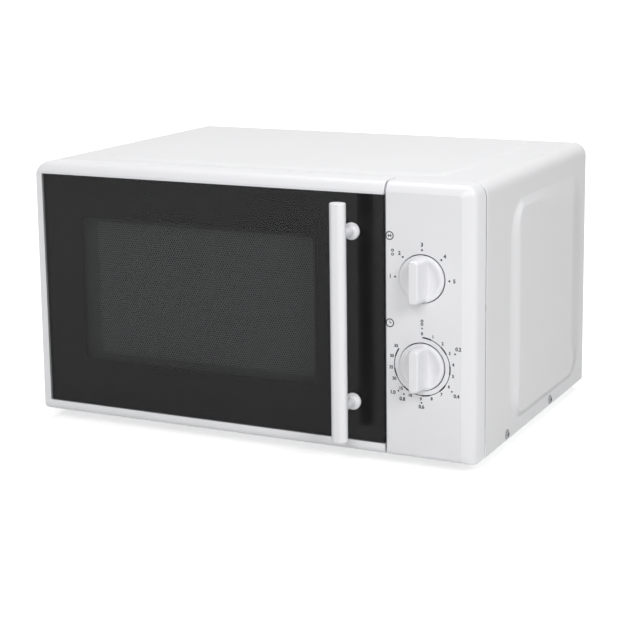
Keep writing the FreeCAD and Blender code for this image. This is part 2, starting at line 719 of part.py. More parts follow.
def line_filter():
    x, z = (shell_right + 14, shell_right + 74), (z_low + 24, z_low + 70)
    y = (y_rear - 10, y_rear - 8.4)
    board = box("filter_board", x, y, z)
    posts = [rod(f"filter_post{number}", "Y", (px, pz), 3, (y[1], y_rear))
             for number, (px, pz) in enumerate(((x[0] + 6, z[0] + 6), (x[1] - 6, z[0] + 6),
                                                (x[0] + 6, z[1] - 6), (x[1] - 6, z[1] - 6)))]
    coil = rod("filter_coil", "Y", (x[0] + 18, z[0] + 22), 10, (y[0] - 14, y[0]))
    block = box("filter_block", (x[0] + 34, x[0] + 52), (y[0] - 12, y[0]), (z[0] + 8, z[0] + 24))
    keep(plus("line_filter_board", board, *posts, coil, block))
    tube = rod("fuse_tube", "X", (y[0] - 4.5, z[1] - 9), 2.6, (x[0] + 32, x[0] + 52))
    clips = [box(f"fuse_clip{number}", (low, low + 4), (y[0] - 7.1, y[0]), (z[1] - 11.6, z[1] - 6.4))
             for number, low in enumerate((x[0] + 33, x[0] + 47))]
    keep(plus("fuse", tube, *clips))


# Turntable

def turntable_motor():
    motor = Body("turntable_motor")
    top = cavity_z[0] - s.sheet_gauge
    motor.rod("Z", (table_x, table_y), 24.5, (top - 14, top))
    motor.block((table_x - 33, table_x + 33), (table_y - 8, table_y + 8), (top - 1.5, top))
    motor.block((table_x + 18, table_x + 38), (table_y - 9, table_y + 9), (top - 13, top - 1.5))
    motor.bore("Z", (table_x, table_y), 3.6, (top - 12, top))
    keep(motor)


def turntable_coupler():
    z = cavity_z[0]
    coupler = Body("turntable_coupler")
    coupler.rod("Z", (table_x, table_y), 3.3, (z - 12, z + 2))
    coupler.rod("Z", (table_x, table_y), 9, (z + 1, z + 11))
    coupler.spin("Y", table_y, ((table_x, z + 1), (table_x + 12, z + 1), (table_x + 12, z + 5),
                                (table_x, z + 5)), ((table_x, z), (table_x, z + 20)))
    arm = coupler.block((table_x + 8, table_x + 22), (table_y - 3, table_y + 3), (z + 4, z + 11), 1)
    spun = coupler.body.getObject("turntable_coupler_sketch3")
    coupler.around(arm, (spun, ["Axis0"]), 3)
    keep(coupler)


def glass_turntable():
    """The glass plate, turned in section, with three lugs that the coupler drives."""
    z = cavity_z[0] + 2 * s.wheel_radius + s.running_gap
    r, t = table_radius, s.plate_thickness
    plate = Body("glass_turntable")
    plate.spin("Y", table_y, ((table_x, z), (table_x + r - 12, z), (table_x + r, z + 7),
                              (table_x + r, z + 9), (table_x + r - 3, z + 9),
                              (table_x + r - 14, z + t), (table_x, z + t)),
               ((table_x, z), (table_x, z + 20)))
    lug = plate.rod("Z", (table_x - 17, table_y), 4, (z - 5, z + 1))
    spun = plate.body.getObject("glass_turntable_sketch1")
    plate.around(lug, (spun, ["Axis0"]), 3)
    keep(plate)


def roller_ring():
    z = cavity_z[0] + s.wheel_radius
    ring_out = s.wheel_track - s.wheel_width / 2 - 1.5
    hoop = Body("roller_ring")
    hoop.rod("Z", (table_x, table_y), ring_out, (z - 3, z + 4))
    hoop.bore("Z", (table_x, table_y), ring_out - 7, (z - 3, z + 4))
    hoop.spin("Y", table_y, ((table_x + ring_out - 8, z - 2), (table_x + ring_out - 6, z - 2),
                             (table_x + ring_out - 6, z + 2), (table_x + ring_out - 8, z + 2)),
              ((table_x, z), (table_x, z + 20)))
    axle = hoop.rod("X", (table_y, z), 1.6, (table_x + ring_out - 4, table_x + s.wheel_track + 5.5))
    cap = hoop.rod("X", (table_y, z), 2.6,
                   (table_x + s.wheel_track + 3.6, table_x + s.wheel_track + 5.5))
    spun = hoop.body.getObject("roller_ring_sketch3")
    hoop.around(axle, (spun, ["Axis0"]), 3)
    hoop.around(cap, (spun, ["Axis0"]), 3)
    keep(hoop)


def roller_wheels():
    z = cavity_z[0] + s.wheel_radius
    middle = table_x + s.wheel_track
    span = (middle - s.wheel_width / 2, middle + s.wheel_width / 2)
    tyre = rod("wheel_tyre", "X", (table_y, z), s.wheel_radius, span)
    bore = rod("wheel_bore", "X", (table_y, z), 1.6 + s.running_gap, span)
    wheel = minus("wheel_blank", tyre, bore)
    for number in range(3):
        keep(turned(f"roller_wheel_{number + 1}", wheel, (table_x, table_y, 0), 120 * number))


# Control panel

def control_panel():
    """The moulded panel at the right of the door, hollow from behind."""
    w, r = s.panel_wall, s.front_round
    panel = Body("control_panel")
    corner = s.cover_round
    panel.block((panel_left - corner, right), (y_front, y_edge), (z_low - corner, z_high), corner, "Y")
    panel.hollow((panel_left - corner, panel_left), (y_front, y_edge), (z_low - corner, z_high))
    panel.hollow((panel_left, right), (y_front, y_edge), (z_low - corner, z_low))
    panel.soften(lambda b: near(b.YMin, y_front) and near(b.YMax, y_front)
                 and b.XMax > panel_left.value + 1, r)
    y_inner = y_front + w + 1
    panel.hollow((panel_left + w, right - w), (y_inner, y_edge), (z_low + w, z_high - w),
                 corner - w, "Y")
    panel.soften(lambda b: near(b.YMin, y_inner) and near(b.YMax, y_inner), r - w)
    for z in (power_z, timer_z):
        panel.rod("Y", (knob_x, z), s.knob_radius + s.knob_gap + 2,
                  (y_front + 1, y_inner + s.knob_sink))
        panel.bore("Y", (knob_x, z), s.knob_radius + s.knob_gap, (y_front - 1, y_front + s.knob_sink))
        panel.bore("Y", (knob_x, z), 6, (y_front - 1, y_front + 8))
    for x, z in bracket_bosses():
        panel.rod("Y", (x, z), 4, (y_inner - 0.5, bracket_y[0]))
    keep(panel)


def bracket_bosses():
    x = (panel_left + 10, right - 12)
    z = (z_low + 32, z_low + 198)
    return [(bx, bz) for bx in x for bz in z]


def control_bracket():
    plate = Body("control_bracket")
    plate.block((panel_left + 4, right - 6), bracket_y, (z_low + 26, z_low + 204), 3, "Y")
    for z in (power_z, timer_z):
        plate.bore("Y", (knob_x, z), 5, bracket_y)
    keep(plate)


def control_units():
    """The timer and the power selector behind the panel, each with its own spindle."""
    for name, z, reach, depth in (("power_selector", power_z, 20, 30), ("timer_unit", timer_z, 23, 38)):
        case = Body(name)
        y = (y_edge, y_edge + depth)
        case.block((knob_x - reach, knob_x + reach), y, (z - reach, z + reach), 3, "Y")
        case.bore("Y", (knob_x, z), s.spindle_radius + s.running_gap, (y[0], y[0] + 20))
        case.block((knob_x - 12, knob_x + 12), (y[1], y[1] + 5), (z - reach, z - reach + 12))
        keep(case)
    bell = Body("timer_bell")
    y = y_edge + 38
    bell.rod("Y", (knob_x, timer_z + 6), 14, (y, y + 9))
    bell.bore("Y", (knob_x, timer_z + 6), 13, (y, y + 8))
    keep(bell)


def knobs():
    """Each knob is a round skirt with a bar grip, pushed on a flatted spindle."""
    front = y_front + s.knob_sink - 0.6
    skirt = (front - s.knob_skirt, front)
    for name, z in (("power", power_z), ("timer", timer_z)):
        knob = Body(f"{name}_knob")
        knob.rod("Y", (knob_x, z), s.knob_radius, skirt)
        knob.bore("Y", (knob_x, z), s.knob_radius - 2.5, (skirt[0] + 1.8, skirt[1]))
        knob.rod("Y", (knob_x, z), 5.4, (skirt[0], skirt[1] + 4))
        knob.block((knob_x - s.grip_width / 2, knob_x + s.grip_width / 2),
                   (skirt[0] - s.grip_reach, skirt[0] + 1),
                   (z - s.knob_radius + 0.6, z + s.knob_radius - 0.6), 3.4, "Y")
        knob.bore("Y", (knob_x, z), s.spindle_radius, (skirt[0] - 6, skirt[1] + 4))
        knob.block((knob_x - 3, knob_x + 3), (skirt[0] - 6, skirt[1] + 4), (z + 2, z + 3.2))
        keep(knob)
        spindle = Body(f"{name}_spindle")
        spindle.rod("Y", (knob_x, z), s.spindle_radius, (skirt[0] - 6, y_edge + 19))
        spindle.hollow((knob_x - 4, knob_x + 4), (skirt[0] - 6, skirt[1] + 4), (z + 2, z + 4))
        keep(spindle)


# Door

def door_frame():
    """The white moulded door surround: glass seat in front, pan seat behind."""
    door = Body("door_frame")
    door.block((left, door_right), (y_front, y_door), (z_low, z_high))
    door.soften(lambda b: near(b.XMin, left) and near(b.XMax, left) and near(b.YMin, y_door)
                and near(b.YMax, y_door), s.hinge_inset)
    door.soften(lambda b: near(b.YMin, y_front) and near(b.YMax, y_front)
                and near(b.ZMin, b.ZMax), s.front_round)
    door.soften(lambda b: near(b.XMin, left) and near(b.XMax, left)
                and near(b.YMin, y_front) and b.ZMax - b.ZMin > 50, s.edge_round)
    door.hollow((glass_x[0], door_right + 5), (y_front, y_ledge), glass_z, s.glass_corner, "Y")
    door.hollow(ledge_x, (y_ledge, y_door), ledge_z, 4, "Y")
    door.hollow(pan_x, (y_pan, y_door), pan_z, 4, "Y")
    door.hollow((left + 4, pan_x[0] - 2.5), (y_pan + 4, y_door), (z_low + 48, z_high - 48), 1, "Y")
    for low, high in (tab_upper, tab_lower):
        door.hollow((left, hinge[0] + 7), (hinge[1] - 6, y_door), (low - 1, high + 1))
    for low, high in (bush_upper, bush_lower):
        door.bore("Z", hinge, bush_radius, (low, high))
    for z in post_z:
        door.bore("Y", (bar_x, z), 2.2, (y_ledge, y_pan))
    keep(door)


def door_glass():
    glass = Body("door_glass")
    glass.block(glass_x, (y_front, y_front + s.glass_thickness), glass_z, s.glass_corner, "Y")
    for z in post_z:
        glass.bore("Y", (bar_x, z), 2.6, (y_front, y_front + s.glass_thickness))
    keep(glass)
    mask = Body("glass_mask")
    span = (y_front + s.glass_thickness, y_ledge)
    mask.block(glass_x, span, glass_z, s.glass_corner, "Y")
    mask.hollow(window_x, span, window_z, 5, "Y")
    for z in post_z:
        mask.bore("Y", (bar_x, z), 2.6, span)
    keep(mask)


def door_chassis():
    """The steel door pan that carries the screen."""
    g = s.sheet_gauge
    pan = Body("door_chassis")
    flange_x = (pan_x[0], hook_x[0] - 3)
    pan.block(flange_x, (y_pan, y_pan + g), pan_z, 4, "Y")
    pan.block(hat_x, (y_pan, y_screen), hat_z, 4, "Y")
    pan.hollow((hat_x[0] + g, hat_x[1] - g), (y_pan, y_screen - g), (hat_z[0] + g, hat_z[1] - g),
               3, "Y")
    pan.hollow(screen_x, (y_pan, y_screen), screen_z, 3, "Y")
    for z in post_z:
        pan.bore("Y", (bar_x, z), 2.2, (y_pan, y_pan + g))
    keep(pan)
    rim = 5
    keep(box("door_screen", (screen_x[0] - rim, screen_x[1] + rim), (y_screen, y_screen + 0.5),
             (screen_z[0] - rim, screen_z[1] + rim)))


def choke_cover():
    """The dark plastic ring that closes the choke groove at the back of the door."""
    choke = Body("choke_cover")
    y = (y_pan + s.sheet_gauge, y_door - 0.5)
    w = 1.6
    choke.block(choke_x, y, choke_z, 3, "Y")
    choke.hollow((choke_x[0] + w, choke_x[1] - w), (y[0], y[1] - w),
                 (choke_z[0] + w, choke_z[1] - w), 1.4, "Y")
    inner_x = (screen_x[0] - 12, screen_x[1] + 12)
    inner_z = (screen_z[0] - 12, screen_z[1] + 12)
    choke.block(inner_x, (y_screen, y[1]), inner_z, 4, "Y")
    choke.hollow((inner_x[0] + w, inner_x[1] - w), (y_screen, y[1] - w),
                 (inner_z[0] + w, inner_z[1] - w), 2.4, "Y")
    choke.hollow((screen_x[0] - 4, screen_x[1] + 4), y, (screen_z[0] - 4, screen_z[1] + 4), 4, "Y")
    for low, high in hook_spans():
        choke.hollow((hook_x[0] - 1.4, hook_x[1] + 1), (y[1] - w, y[1]),
                     (low - 1, high + s.latch_travel + 1))
    keep(choke)
    keep(box("inner_film", (inner_x[0] + w + 1, inner_x[1] - w - 1), (y[1] - w - 0.3, y[1] - w),
             (inner_z[0] + w + 1, inner_z[1] - w - 1)))


def handle():
    bar = Body("handle_bar")
    half_bar = s.bar_width / 2
    y = (y_handle, y_handle + s.bar_depth)
    bar.block((bar_x - half_bar, bar_x + half_bar), y, bar_z, s.bar_round)
    for z in post_z:
        bar.bore("Y", (bar_x, z), 1.8, (y[1] - 5, y[1]))
    keep(bar)
    posts, screws = [], []
    for number, z in enumerate(post_z, start=1):
        neck = rod(f"post_neck{number}", "Y", (bar_x, z), s.post_radius, (y[1], y_front - 2.5))
        collar = rod(f"post_collar{number}", "Y", (bar_x, z), s.collar_radius,
                     (y_front - 2.5, y_front))
        bore = rod(f"post_bore{number}", "Y", (bar_x, z), 1.8, (y[1], y_front))
        posts.append(minus(f"post{number}", plus(f"post_blank{number}", neck, collar), bore))
        shank = rod(f"handle_shank{number}", "Y", (bar_x, z), 1.8, (y[1] - 5, y_pan + s.sheet_gauge))
        head = rod(f"handle_head{number}", "Y", (bar_x, z), 3.6,
                   (y_pan + s.sheet_gauge, y_pan + s.sheet_gauge + 2.4))
        screws.append(plus(f"handle_screw{number}", shank, head))
    keep(both("handle_posts", *posts))
    keep(both("handle_screws", *screws))


def hinges():
    """Two brackets on the front plate whose pins stand in bushes in the door."""
    g = 2.5
    brackets = []
    for name, tab, pin, plate_z in (
            ("hinge_bracket_upper", tab_upper, (bush_upper[0] + 1, tab_upper[1]),
             (tab_upper[0] - 18, tab_upper[1] + 2)),
            ("hinge_bracket_lower", tab_lower, (tab_lower[0], bush_lower[1] - 1),
             (tab_lower[0], tab_lower[1] + 18))):
        bracket = Body(name)
        bracket.block((-wall + 0.5, cavity[0] - s.sheet_gauge - 1), (y_sheet, y_sheet + g), plate_z)
        bracket.block((hinge[0] - 5, hinge[0] + 5), (hinge[1], y_sheet + 1), tab)
        bracket.rod("Z", hinge, 5, tab)
        bracket.rod("Z", hinge, s.pin_radius, pin)
        brackets.append(bracket.body)
    keep(both("hinge_brackets", *brackets))
    bushes = []
    for number, (low, high) in enumerate((bush_upper, bush_lower), start=1):
        sleeve = rod(f"bush_sleeve{number}", "Z", hinge, bush_radius, (low, high))
        bore = rod(f"bush_bore{number}", "Z", hinge, s.pin_radius + s.running_gap, (low, high))
        bushes.append(minus(f"bush{number}", sleeve, bore))
    keep(both("hinge_bushes", *bushes))


def latch():
    """The sprung hook bar in the door, and the housing and switches behind the front plate."""
    spans = hook_spans()
    y = (y_pan + 0.5, y_pan + 9)
    bar = Body("latch_hooks")
    bar.block(hook_x, y, (spans[0][0] - 4, spans[1][1] + 4), 2, "Y")
    for low, high in spans:
        bar.block((hook_x[0] + 0.5, hook_x[1] - 0.5), (y[1] - 1, y_edge + 16), (low, low + 7))
        bar.block((hook_x[0] + 0.5, hook_x[1] - 0.5), (y_edge + 10, y_edge + 16), (low + 6, high))
    keep(bar)
    keep(rod("latch_spring", "Z", ((hook_x[0] + hook_x[1]) / 2, y[0] + 4), 2.6,
             (choke_z[0] + 1.6, spans[0][0] - 4)))
    housing = Body("latch_housing")
    hx = (hook_x[0] - 8, hook_x[1] + 9)
    hy = (y_sheet, y_sheet + 24)
    housing.block(hx, hy, (spans[0][0] - 12, spans[1][1] + 16))
    for low, high in spans:
        housing.hollow((hook_x[0] - 3, hook_x[1] + 3.5), (hy[0], hy[1] - 2.5),
                       (low - 3, high + s.latch_travel + 3))
    housing.hollow((hx[0] + 3, hx[1] - 3), (hy[0] + 2.5, hy[1]),
                   (spans[0][1] + s.latch_travel + 6, spans[1][0] - 6))
    keep(housing)
    switches = []
    for number, low in enumerate((spans[0][0] - 4, spans[1][0] - 4), start=1):
        body = box(f"switch_case{number}", hx, (hy[1], hy[1] + 10), (low, low + 28))
        tabs = [box(f"switch_tab{number}{mark}", (hx[0] + 8, hx[0] + 14), (hy[1] + 10, hy[1] + 17),
                    (low + a, low + a + 0.8)) for mark, a in (("a", 5), ("b", 14), ("c", 23))]
        switches.append(plus(f"switch{number}", body, *tabs))
    keep(both("interlock_switches", *switches))


# Places of the electrical parts
fan_x = (shell_right + 13, shell_right + 13 + s.fan_size)
fan_z = (z_high - 25 - s.fan_size, z_high - 25)
fan_cx, fan_cz = (fan_x[0] + fan_x[1]) / 2, (fan_z[0] + fan_z[1]) / 2
gland_x, gland_z = right - 24, z_low + 34
magnetron_x = (shell_right + 26, shell_right + 108)
magnetron_y = (y_rear - 46 - s.magnetron_depth, y_rear - 46)
magnetron_z = (z_high - 44 - s.magnetron_height, z_high - 44)
antenna_y = (magnetron_y[0] + magnetron_y[1]) / 2
antenna_z = (magnetron_z[0] + magnetron_z[1]) / 2
guide_y = (antenna_y - 46, antenna_y + 46)
guide_z = (antenna_z - 40, antenna_z + 40)
port_y = (antenna_y - 36, antenna_y + 36)
port_z = (antenna_z - 34, antenna_z + 6)
duct_y = (y_edge + 52, y_edge + 104)
duct_z = (z_high - 92, z_high - 44)
lamp_y, lamp_z = y_edge + 128, z_high - 62
bracket_y = (y_edge - 1.2, y_edge)

# Places in the door
glass_x = (left + s.glass_margin, door_right)
glass_z = (z_low + s.glass_sill, z_high - s.glass_head)
y_ledge = y_front + s.glass_thickness + s.mask_thickness
y_pan = y_ledge + s.ledge_depth
y_screen = y_pan + 7
window_x = (glass_x[0] + s.window_side, door_right - s.window_right_gap)
window_z = (z_low + s.window_sill, z_high - s.window_head)
screen_x = (window_x[0] + s.screen_rim, window_x[1] - s.screen_rim + 2)
screen_z = (window_z[0] + 4, window_z[1] - 5)
ledge_x = (left + 20.5, door_right - 32)
ledge_z = (z_low + 22, z_high - 22.5)
pan_x = (left + 15.5, door_right - s.door_wall)
pan_z = (z_low + s.door_wall, z_high - s.door_wall - 0.5)
hat_x = (ledge_x[0] + 2, ledge_x[1] - 2)
hat_z = (ledge_z[0] + 2, ledge_z[1] - 2)
choke_x = (pan_x[0], pan_x[1] - 1)
choke_z = (pan_z[0] + 3, pan_z[1] - 3)
hook_x = (door_right - 17, door_right - 9)
bush_radius = 4.5
tab_lower = (z_low + 14, z_low + 16.5)
bush_lower = (tab_lower[1] + 1, tab_lower[1] + 15)
tab_upper = (z_high - 16.5, z_high - 14)
bush_upper = (tab_upper[0] - 15, tab_upper[0] - 1)
bar_x = door_right - s.handle_inset
bar_z = (z_low + s.bar_rise, z_high - s.bar_drop)
post_z = (bar_z[0] + s.post_inset, bar_z[1] - s.post_inset)


def hook_spans():
    """Height spans of the two latch hooks, lower first."""
    low, high = z_low + 50, z_high - 68
    return (low, low + 12), (high, high + 12)


def build():
    for step in (cabinet_cover, cabinet_screws, base_plate, feet, rear_panel, front_frame,
                 cord_gland, cavity_liner, waveguide, waveguide_cover, magnetron, transformer,
                 capacitor, diode, fan, air_duct, lamp, thermal_cutout, line_filter,
                 turntable_motor, turntable_coupler, glass_turntable, roller_ring, roller_wheels,
                 control_panel, control_bracket, control_units, knobs, door_frame, door_glass,
                 door_chassis, choke_cover, handle, hinges, latch):
        step()
    doc.recompute()
    for item in doc.Objects:
        faults = {"Invalid", "Error"} & set(item.State)
        if faults:
            raise RuntimeError(f"{item.Label} is {faults}")
    os.makedirs("parts", exist_ok=True)
    for name, owner in parts.items():
        if owner.Shape.isNull() or not owner.Shape.isValid():
            raise RuntimeError(f"{name} has no valid shape")
        owner.Shape.exportStep(f"parts/{name}.step")
    print(f"{len(parts)} sub-parts")


build()
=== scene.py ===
import json
import math

import bmesh
import bpy
from bpy.props import FloatProperty, FloatVectorProperty, PointerProperty
from mathutils import Matrix, Vector

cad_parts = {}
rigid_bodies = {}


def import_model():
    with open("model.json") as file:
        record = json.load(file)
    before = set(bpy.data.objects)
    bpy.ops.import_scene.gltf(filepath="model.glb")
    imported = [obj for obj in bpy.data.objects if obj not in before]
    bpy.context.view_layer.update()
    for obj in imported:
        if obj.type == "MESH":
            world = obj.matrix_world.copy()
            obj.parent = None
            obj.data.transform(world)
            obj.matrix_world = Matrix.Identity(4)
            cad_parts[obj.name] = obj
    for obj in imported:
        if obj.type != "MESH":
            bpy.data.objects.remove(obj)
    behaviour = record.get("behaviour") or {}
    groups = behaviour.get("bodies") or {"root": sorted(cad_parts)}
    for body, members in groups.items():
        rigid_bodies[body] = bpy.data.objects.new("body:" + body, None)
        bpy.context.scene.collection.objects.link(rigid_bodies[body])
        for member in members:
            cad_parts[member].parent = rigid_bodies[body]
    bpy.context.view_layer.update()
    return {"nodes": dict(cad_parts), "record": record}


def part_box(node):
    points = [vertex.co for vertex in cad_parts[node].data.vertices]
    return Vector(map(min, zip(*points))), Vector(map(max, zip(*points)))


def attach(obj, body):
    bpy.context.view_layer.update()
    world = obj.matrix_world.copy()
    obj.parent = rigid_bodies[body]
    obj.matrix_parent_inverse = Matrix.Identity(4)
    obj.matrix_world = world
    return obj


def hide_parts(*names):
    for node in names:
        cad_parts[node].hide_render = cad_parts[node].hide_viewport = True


bl_info = {
    "name": "Countertop Microwave Oven",
    "version": (1, 0, 0),
    "blender": (4, 5, 0),
    "location": "3D View > Sidebar > Oven",
    "description": "Finishes a countertop microwave oven round its packed frame",
    "category": "Add Mesh",
}

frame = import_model()
MM = 0.001

# The dials' scales, in degrees clockwise from the top
TIMER_SWEEP, TIMER_MARKS = 304, 15
TIMER_STEP = TIMER_SWEEP / TIMER_MARKS
POWER_START, POWER_STEP, POWER_MARKS = -90, 45, 5

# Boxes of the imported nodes, in metres

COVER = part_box("cabinet_cover")
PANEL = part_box("control_panel")
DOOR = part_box("door_frame")
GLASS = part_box("door_glass")
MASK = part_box("glass_mask")
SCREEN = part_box("door_screen")
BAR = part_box("handle_bar")
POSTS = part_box("handle_posts")
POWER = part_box("power_knob")
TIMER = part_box("timer_knob")
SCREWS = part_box("cabinet_screws")
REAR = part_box("rear_panel")
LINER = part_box("cavity_liner")
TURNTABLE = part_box("glass_turntable")


def middle(box):
    return (box[0] + box[1]) / 2


# Settings that a user would change

def length(name, description, millimetres):
    return FloatProperty(name=name, description=description, default=millimetres * MM,
                         unit="LENGTH")


def colour_of(name, description, red, green, blue):
    return FloatVectorProperty(name=name, description=description, subtype="COLOR",
                               default=(red, green, blue))


class OvenSizes(bpy.types.PropertyGroup):
    emboss_shade: FloatProperty(name="Emboss shade", default=6, subtype="FACTOR",
                                description="How much the slopes' shading is deepened")
    cover_seam: length("Cover seam", "Gap between the front mouldings and the cover", 1.8)
    emboss_height: length("Emboss height", "Rise of the raised panels", 1.5)
    cover_round: length("Cover round", "Radius of the cover's long edges", 12)
    screen_pitch: length("Screen pitch", "Distance between screen holes", 2.3)
    screen_hole: length("Screen hole", "Diameter of a screen hole", 1.5)
    print_relief: length("Print relief", "Thickness of the printed ink", 0.05)
    digit_height: length("Digit height", "Height of the dial numbers", 2.7)


class OvenColours(bpy.types.PropertyGroup):
    coat: colour_of("Coat", "Painted sheet metal", 0.80, 0.80, 0.81)
    moulding: colour_of("Moulding", "White plastic", 0.79, 0.79, 0.81)
    # The ink colour also paints the shade at the bottom of the knob gaps
    ink: colour_of("Ink", "Printed marks", 0.02, 0.02, 0.024)
    black_print: colour_of("Black print", "Print behind the door glass", 0.007, 0.007, 0.0075)
    screen: colour_of("Screen", "Painted door screen", 0.49, 0.51, 0.515)
    enamel: colour_of("Enamel", "Cavity walls", 0.55, 0.56, 0.55)


class OvenStage(bpy.types.PropertyGroup):
    world_light: FloatProperty(name="World light", description="Strength of the studio surround",
                               default=0.12)
    key_light: FloatProperty(name="Key light", description="Power of the main lamp", default=22,
                             unit="POWER")
    floor: colour_of("Floor", "Studio floor", 0.78, 0.78, 0.78)


# Shader sums

class Value:
    """A shader socket that can be used in Python sums."""

    def __init__(self, shader, socket):
        self.shader = shader
        self.socket = socket

    def sum(self, operation, *values):
        return self.shader.add("ShaderNodeMath", {"operation": operation}, *values)

    def __add__(self, other):
        return self.sum("ADD", self, other)

    def __radd__(self, other):
        return self.sum("ADD", other, self)

    def __sub__(self, other):
        return self.sum("SUBTRACT", self, other)

    def __rsub__(self, other):
        return self.sum("SUBTRACT", other, self)

    def __mul__(self, other):
        return self.sum("MULTIPLY", self, other)

    def __rmul__(self, other):
        return self.sum("MULTIPLY", other, self)

    def __truediv__(self, other):
        return self.sum("DIVIDE", self, other)

    def most(self, other):
        return self.sum("MAXIMUM", self, other)


class Nodes:
    """The emptied node tree of a material or a world, to be filled by expressions."""

    def __init__(self, owner):
        owner.use_nodes = True
        self.tree = owner.node_tree
        self.tree.nodes.clear()

    def feed(self, socket, value):
        if isinstance(value, Value):
            self.tree.links.new(value.socket, socket)
        elif isinstance(value, (tuple, list, Vector)) and socket.type == "RGBA":
            socket.default_value = (*value[:3], 1)
        elif hasattr(value, "__len__"):
            socket.default_value = tuple(value)
        else:
            socket.default_value = value

    def add(self, kind, settings=None, *values, out=0, **named):
        """Add any node: settings first, then the values or links of its sockets."""
        node = self.tree.nodes.new(kind)
        for key, value in (settings or {}).items():
            setattr(node, key, value)
        for index, value in enumerate(values):
            self.feed(node.inputs[index], value)
        for key, value in named.items():
            self.feed(node.inputs[key.replace("_", " ")], value)
        return Value(self, node.outputs[out])

    def finish(self, kind, surface):
        output = self.tree.nodes.new(kind)
        self.feed(output.inputs["Surface"], surface)

    def seen(self):
        """1 for rays that see a thing directly, in a mirror or through glass."""
        camera, glossy, through = (self.add("ShaderNodeLightPath", out=f"Is {kind} Ray")
                                   for kind in ("Camera", "Glossy", "Transmission"))
        return camera.most(glossy).most(through)


class Shader(Nodes):
    """A material with one Principled shader."""

    def __init__(self, name, **constants):
        self.material = bpy.data.materials.new(name)
        super().__init__(self.material)
        surface = self.add("ShaderNodeBsdfPrincipled")
        self.surface = surface.socket.node
        self.finish("ShaderNodeOutputMaterial", surface)
        for key, value in constants.items():
            self.set(key.replace("_", " ").title().replace("Ior", "IOR"), value)

    def set(self, name, value):
        """Put a constant or a Value on one of the surface's sockets."""
        self.feed(self.surface.inputs[name], value)

    def place(self):
        return self.add("ShaderNodeTexCoord", out="Object")

    def noise(self, scale, detail=2, roughness=0.5, stretch=(1, 1, 1)):
        where = self.add("ShaderNodeMapping", None, self.place(), (0, 0, 0), (0, 0, 0), stretch)
        return self.add("ShaderNodeTexNoise", None, Vector=where, Scale=scale, Detail=detail,
                        Roughness=roughness)

    def mix(self, amount, one, two):
        """A colour between two colours."""
        node = self.tree.nodes.new("ShaderNodeMix")
        node.data_type = "RGBA"
        self.feed(node.inputs["Factor"], amount)
        for socket, value in zip([i for i in node.inputs if i.type == "RGBA"], (one, two)):
            self.feed(socket, value)
        return Value(self, next(o for o in node.outputs if o.type == "RGBA"))

    def tones(self, pattern, colour, dark, light):
        """Vary the base colour between a darker and a lighter tone of itself."""
        self.set("Base Color", self.mix(pattern, shade(colour, dark), shade(colour, light)))

    def bump(self, height, strength, distance):
        self.set("Normal", self.add("ShaderNodeBump", None, Strength=strength, Distance=distance,
                                    Height=height))


def shade(colour, factor):
    return tuple(part * factor for part in colour)


def painted_metal(name, colour, grain=900, rough=0.5):
    """Powder coat: fine orange peel, faint cloudiness, a slightly uneven sheen."""
    shader = Shader(name, roughness=rough, specular_ior_level=0.15)
    clouds = shader.noise(6, 3)
    peel = shader.noise(grain, 2)
    shader.tones(clouds, colour, 0.985, 1.012)
    shader.set("Roughness", rough + (shader.noise(40, 3) - 0.5) * 0.04 + (peel - 0.5) * 0.06)
    shader.bump(peel, 0.12, 0.15 * MM)
    return shader.material


def moulded_plastic(name, colour, rough=0.34, grain=1500, strength=0.08):
    """Injection-moulded plastic with a fine spark-eroded grain."""
    shader = Shader(name, roughness=rough)
    clouds = shader.noise(9, 2)
    texture = shader.noise(grain, 3, 0.6)
    shader.tones(clouds, colour, 0.985, 1.01)
    shader.set("Roughness", rough + (texture - 0.5) * 0.12 + (shader.noise(25, 2) - 0.5) * 0.05)
    shader.bump(texture, strength, 0.08 * MM)
    return shader.material


def sheet_steel(name, colour, rough):
    """Zinc-coated sheet: broad spangle and rolling lines."""
    shader = Shader(name, metallic=1.0, roughness=rough)
    spangle = shader.add("ShaderNodeTexVoronoi", {"feature": "F1"}, Vector=shader.place(),
                         Scale=160.0, out="Color")
    patch = shader.add("ShaderNodeSeparateColor", None, spangle)
    lines = shader.noise(60, 4, 0.6, (1, 14, 14))
    shader.tones(patch, colour, 0.95, 1.05)
    shader.set("Roughness", rough + (patch - 0.5) * 0.06 + (lines - 0.5) * 0.1)
    shader.bump(lines, 0.1, 0.1 * MM)
    return shader.material


def bright_metal(name, colour, rough=0.25):
    shader = Shader(name, metallic=1.0, roughness=rough)
    wear = shader.noise(300, 4, 0.65)
    shader.tones(wear, colour, 0.85, 1.05)
    shader.set("Roughness", rough + (wear - 0.5) * 0.25)
    shader.bump(wear, 0.08, 0.05 * MM)
    return shader.material


def clear_glass(name, colour, alpha, rough=0.04, gloss=0.5):
    """Flat glass as a tinted see-through skin with a faint smear in its gloss."""
    shader = Shader(name, base_color=colour, roughness=rough, alpha=alpha,
                    specular_ior_level=gloss)
    smear = shader.noise(14, 4, 0.6)
    shader.set("Roughness", rough + (smear - 0.5) * 0.03)
    return shader.material


def banded_metal(name, colour, direction, scale, light, metallic, rough, strength, depth,
                 distortion=0.0):
    """Even bands under varnish: close turns of wire, or the edges of thin sheets."""
    shader = Shader(name, metallic=metallic, roughness=rough)
    wave = shader.add("ShaderNodeTexWave", {"wave_type": "BANDS", "bands_direction": direction},
                      Vector=shader.place(), Scale=scale, Distortion=distortion, out="Fac")
    shader.tones(wave, colour, 0.5, light)
    shader.bump(wave, strength, depth * MM)
    return shader.material


def board_laminate(name):
    shader = Shader(name, roughness=0.45)
    fibre = shader.noise(220, 3, 0.6, (1, 1, 4))
    shader.set("Base Color", shader.mix(fibre, (0.16, 0.09, 0.03), (0.28, 0.17, 0.06)))
    shader.bump(fibre, 0.15, 0.1 * MM)
    return shader.material


# Mesh helpers

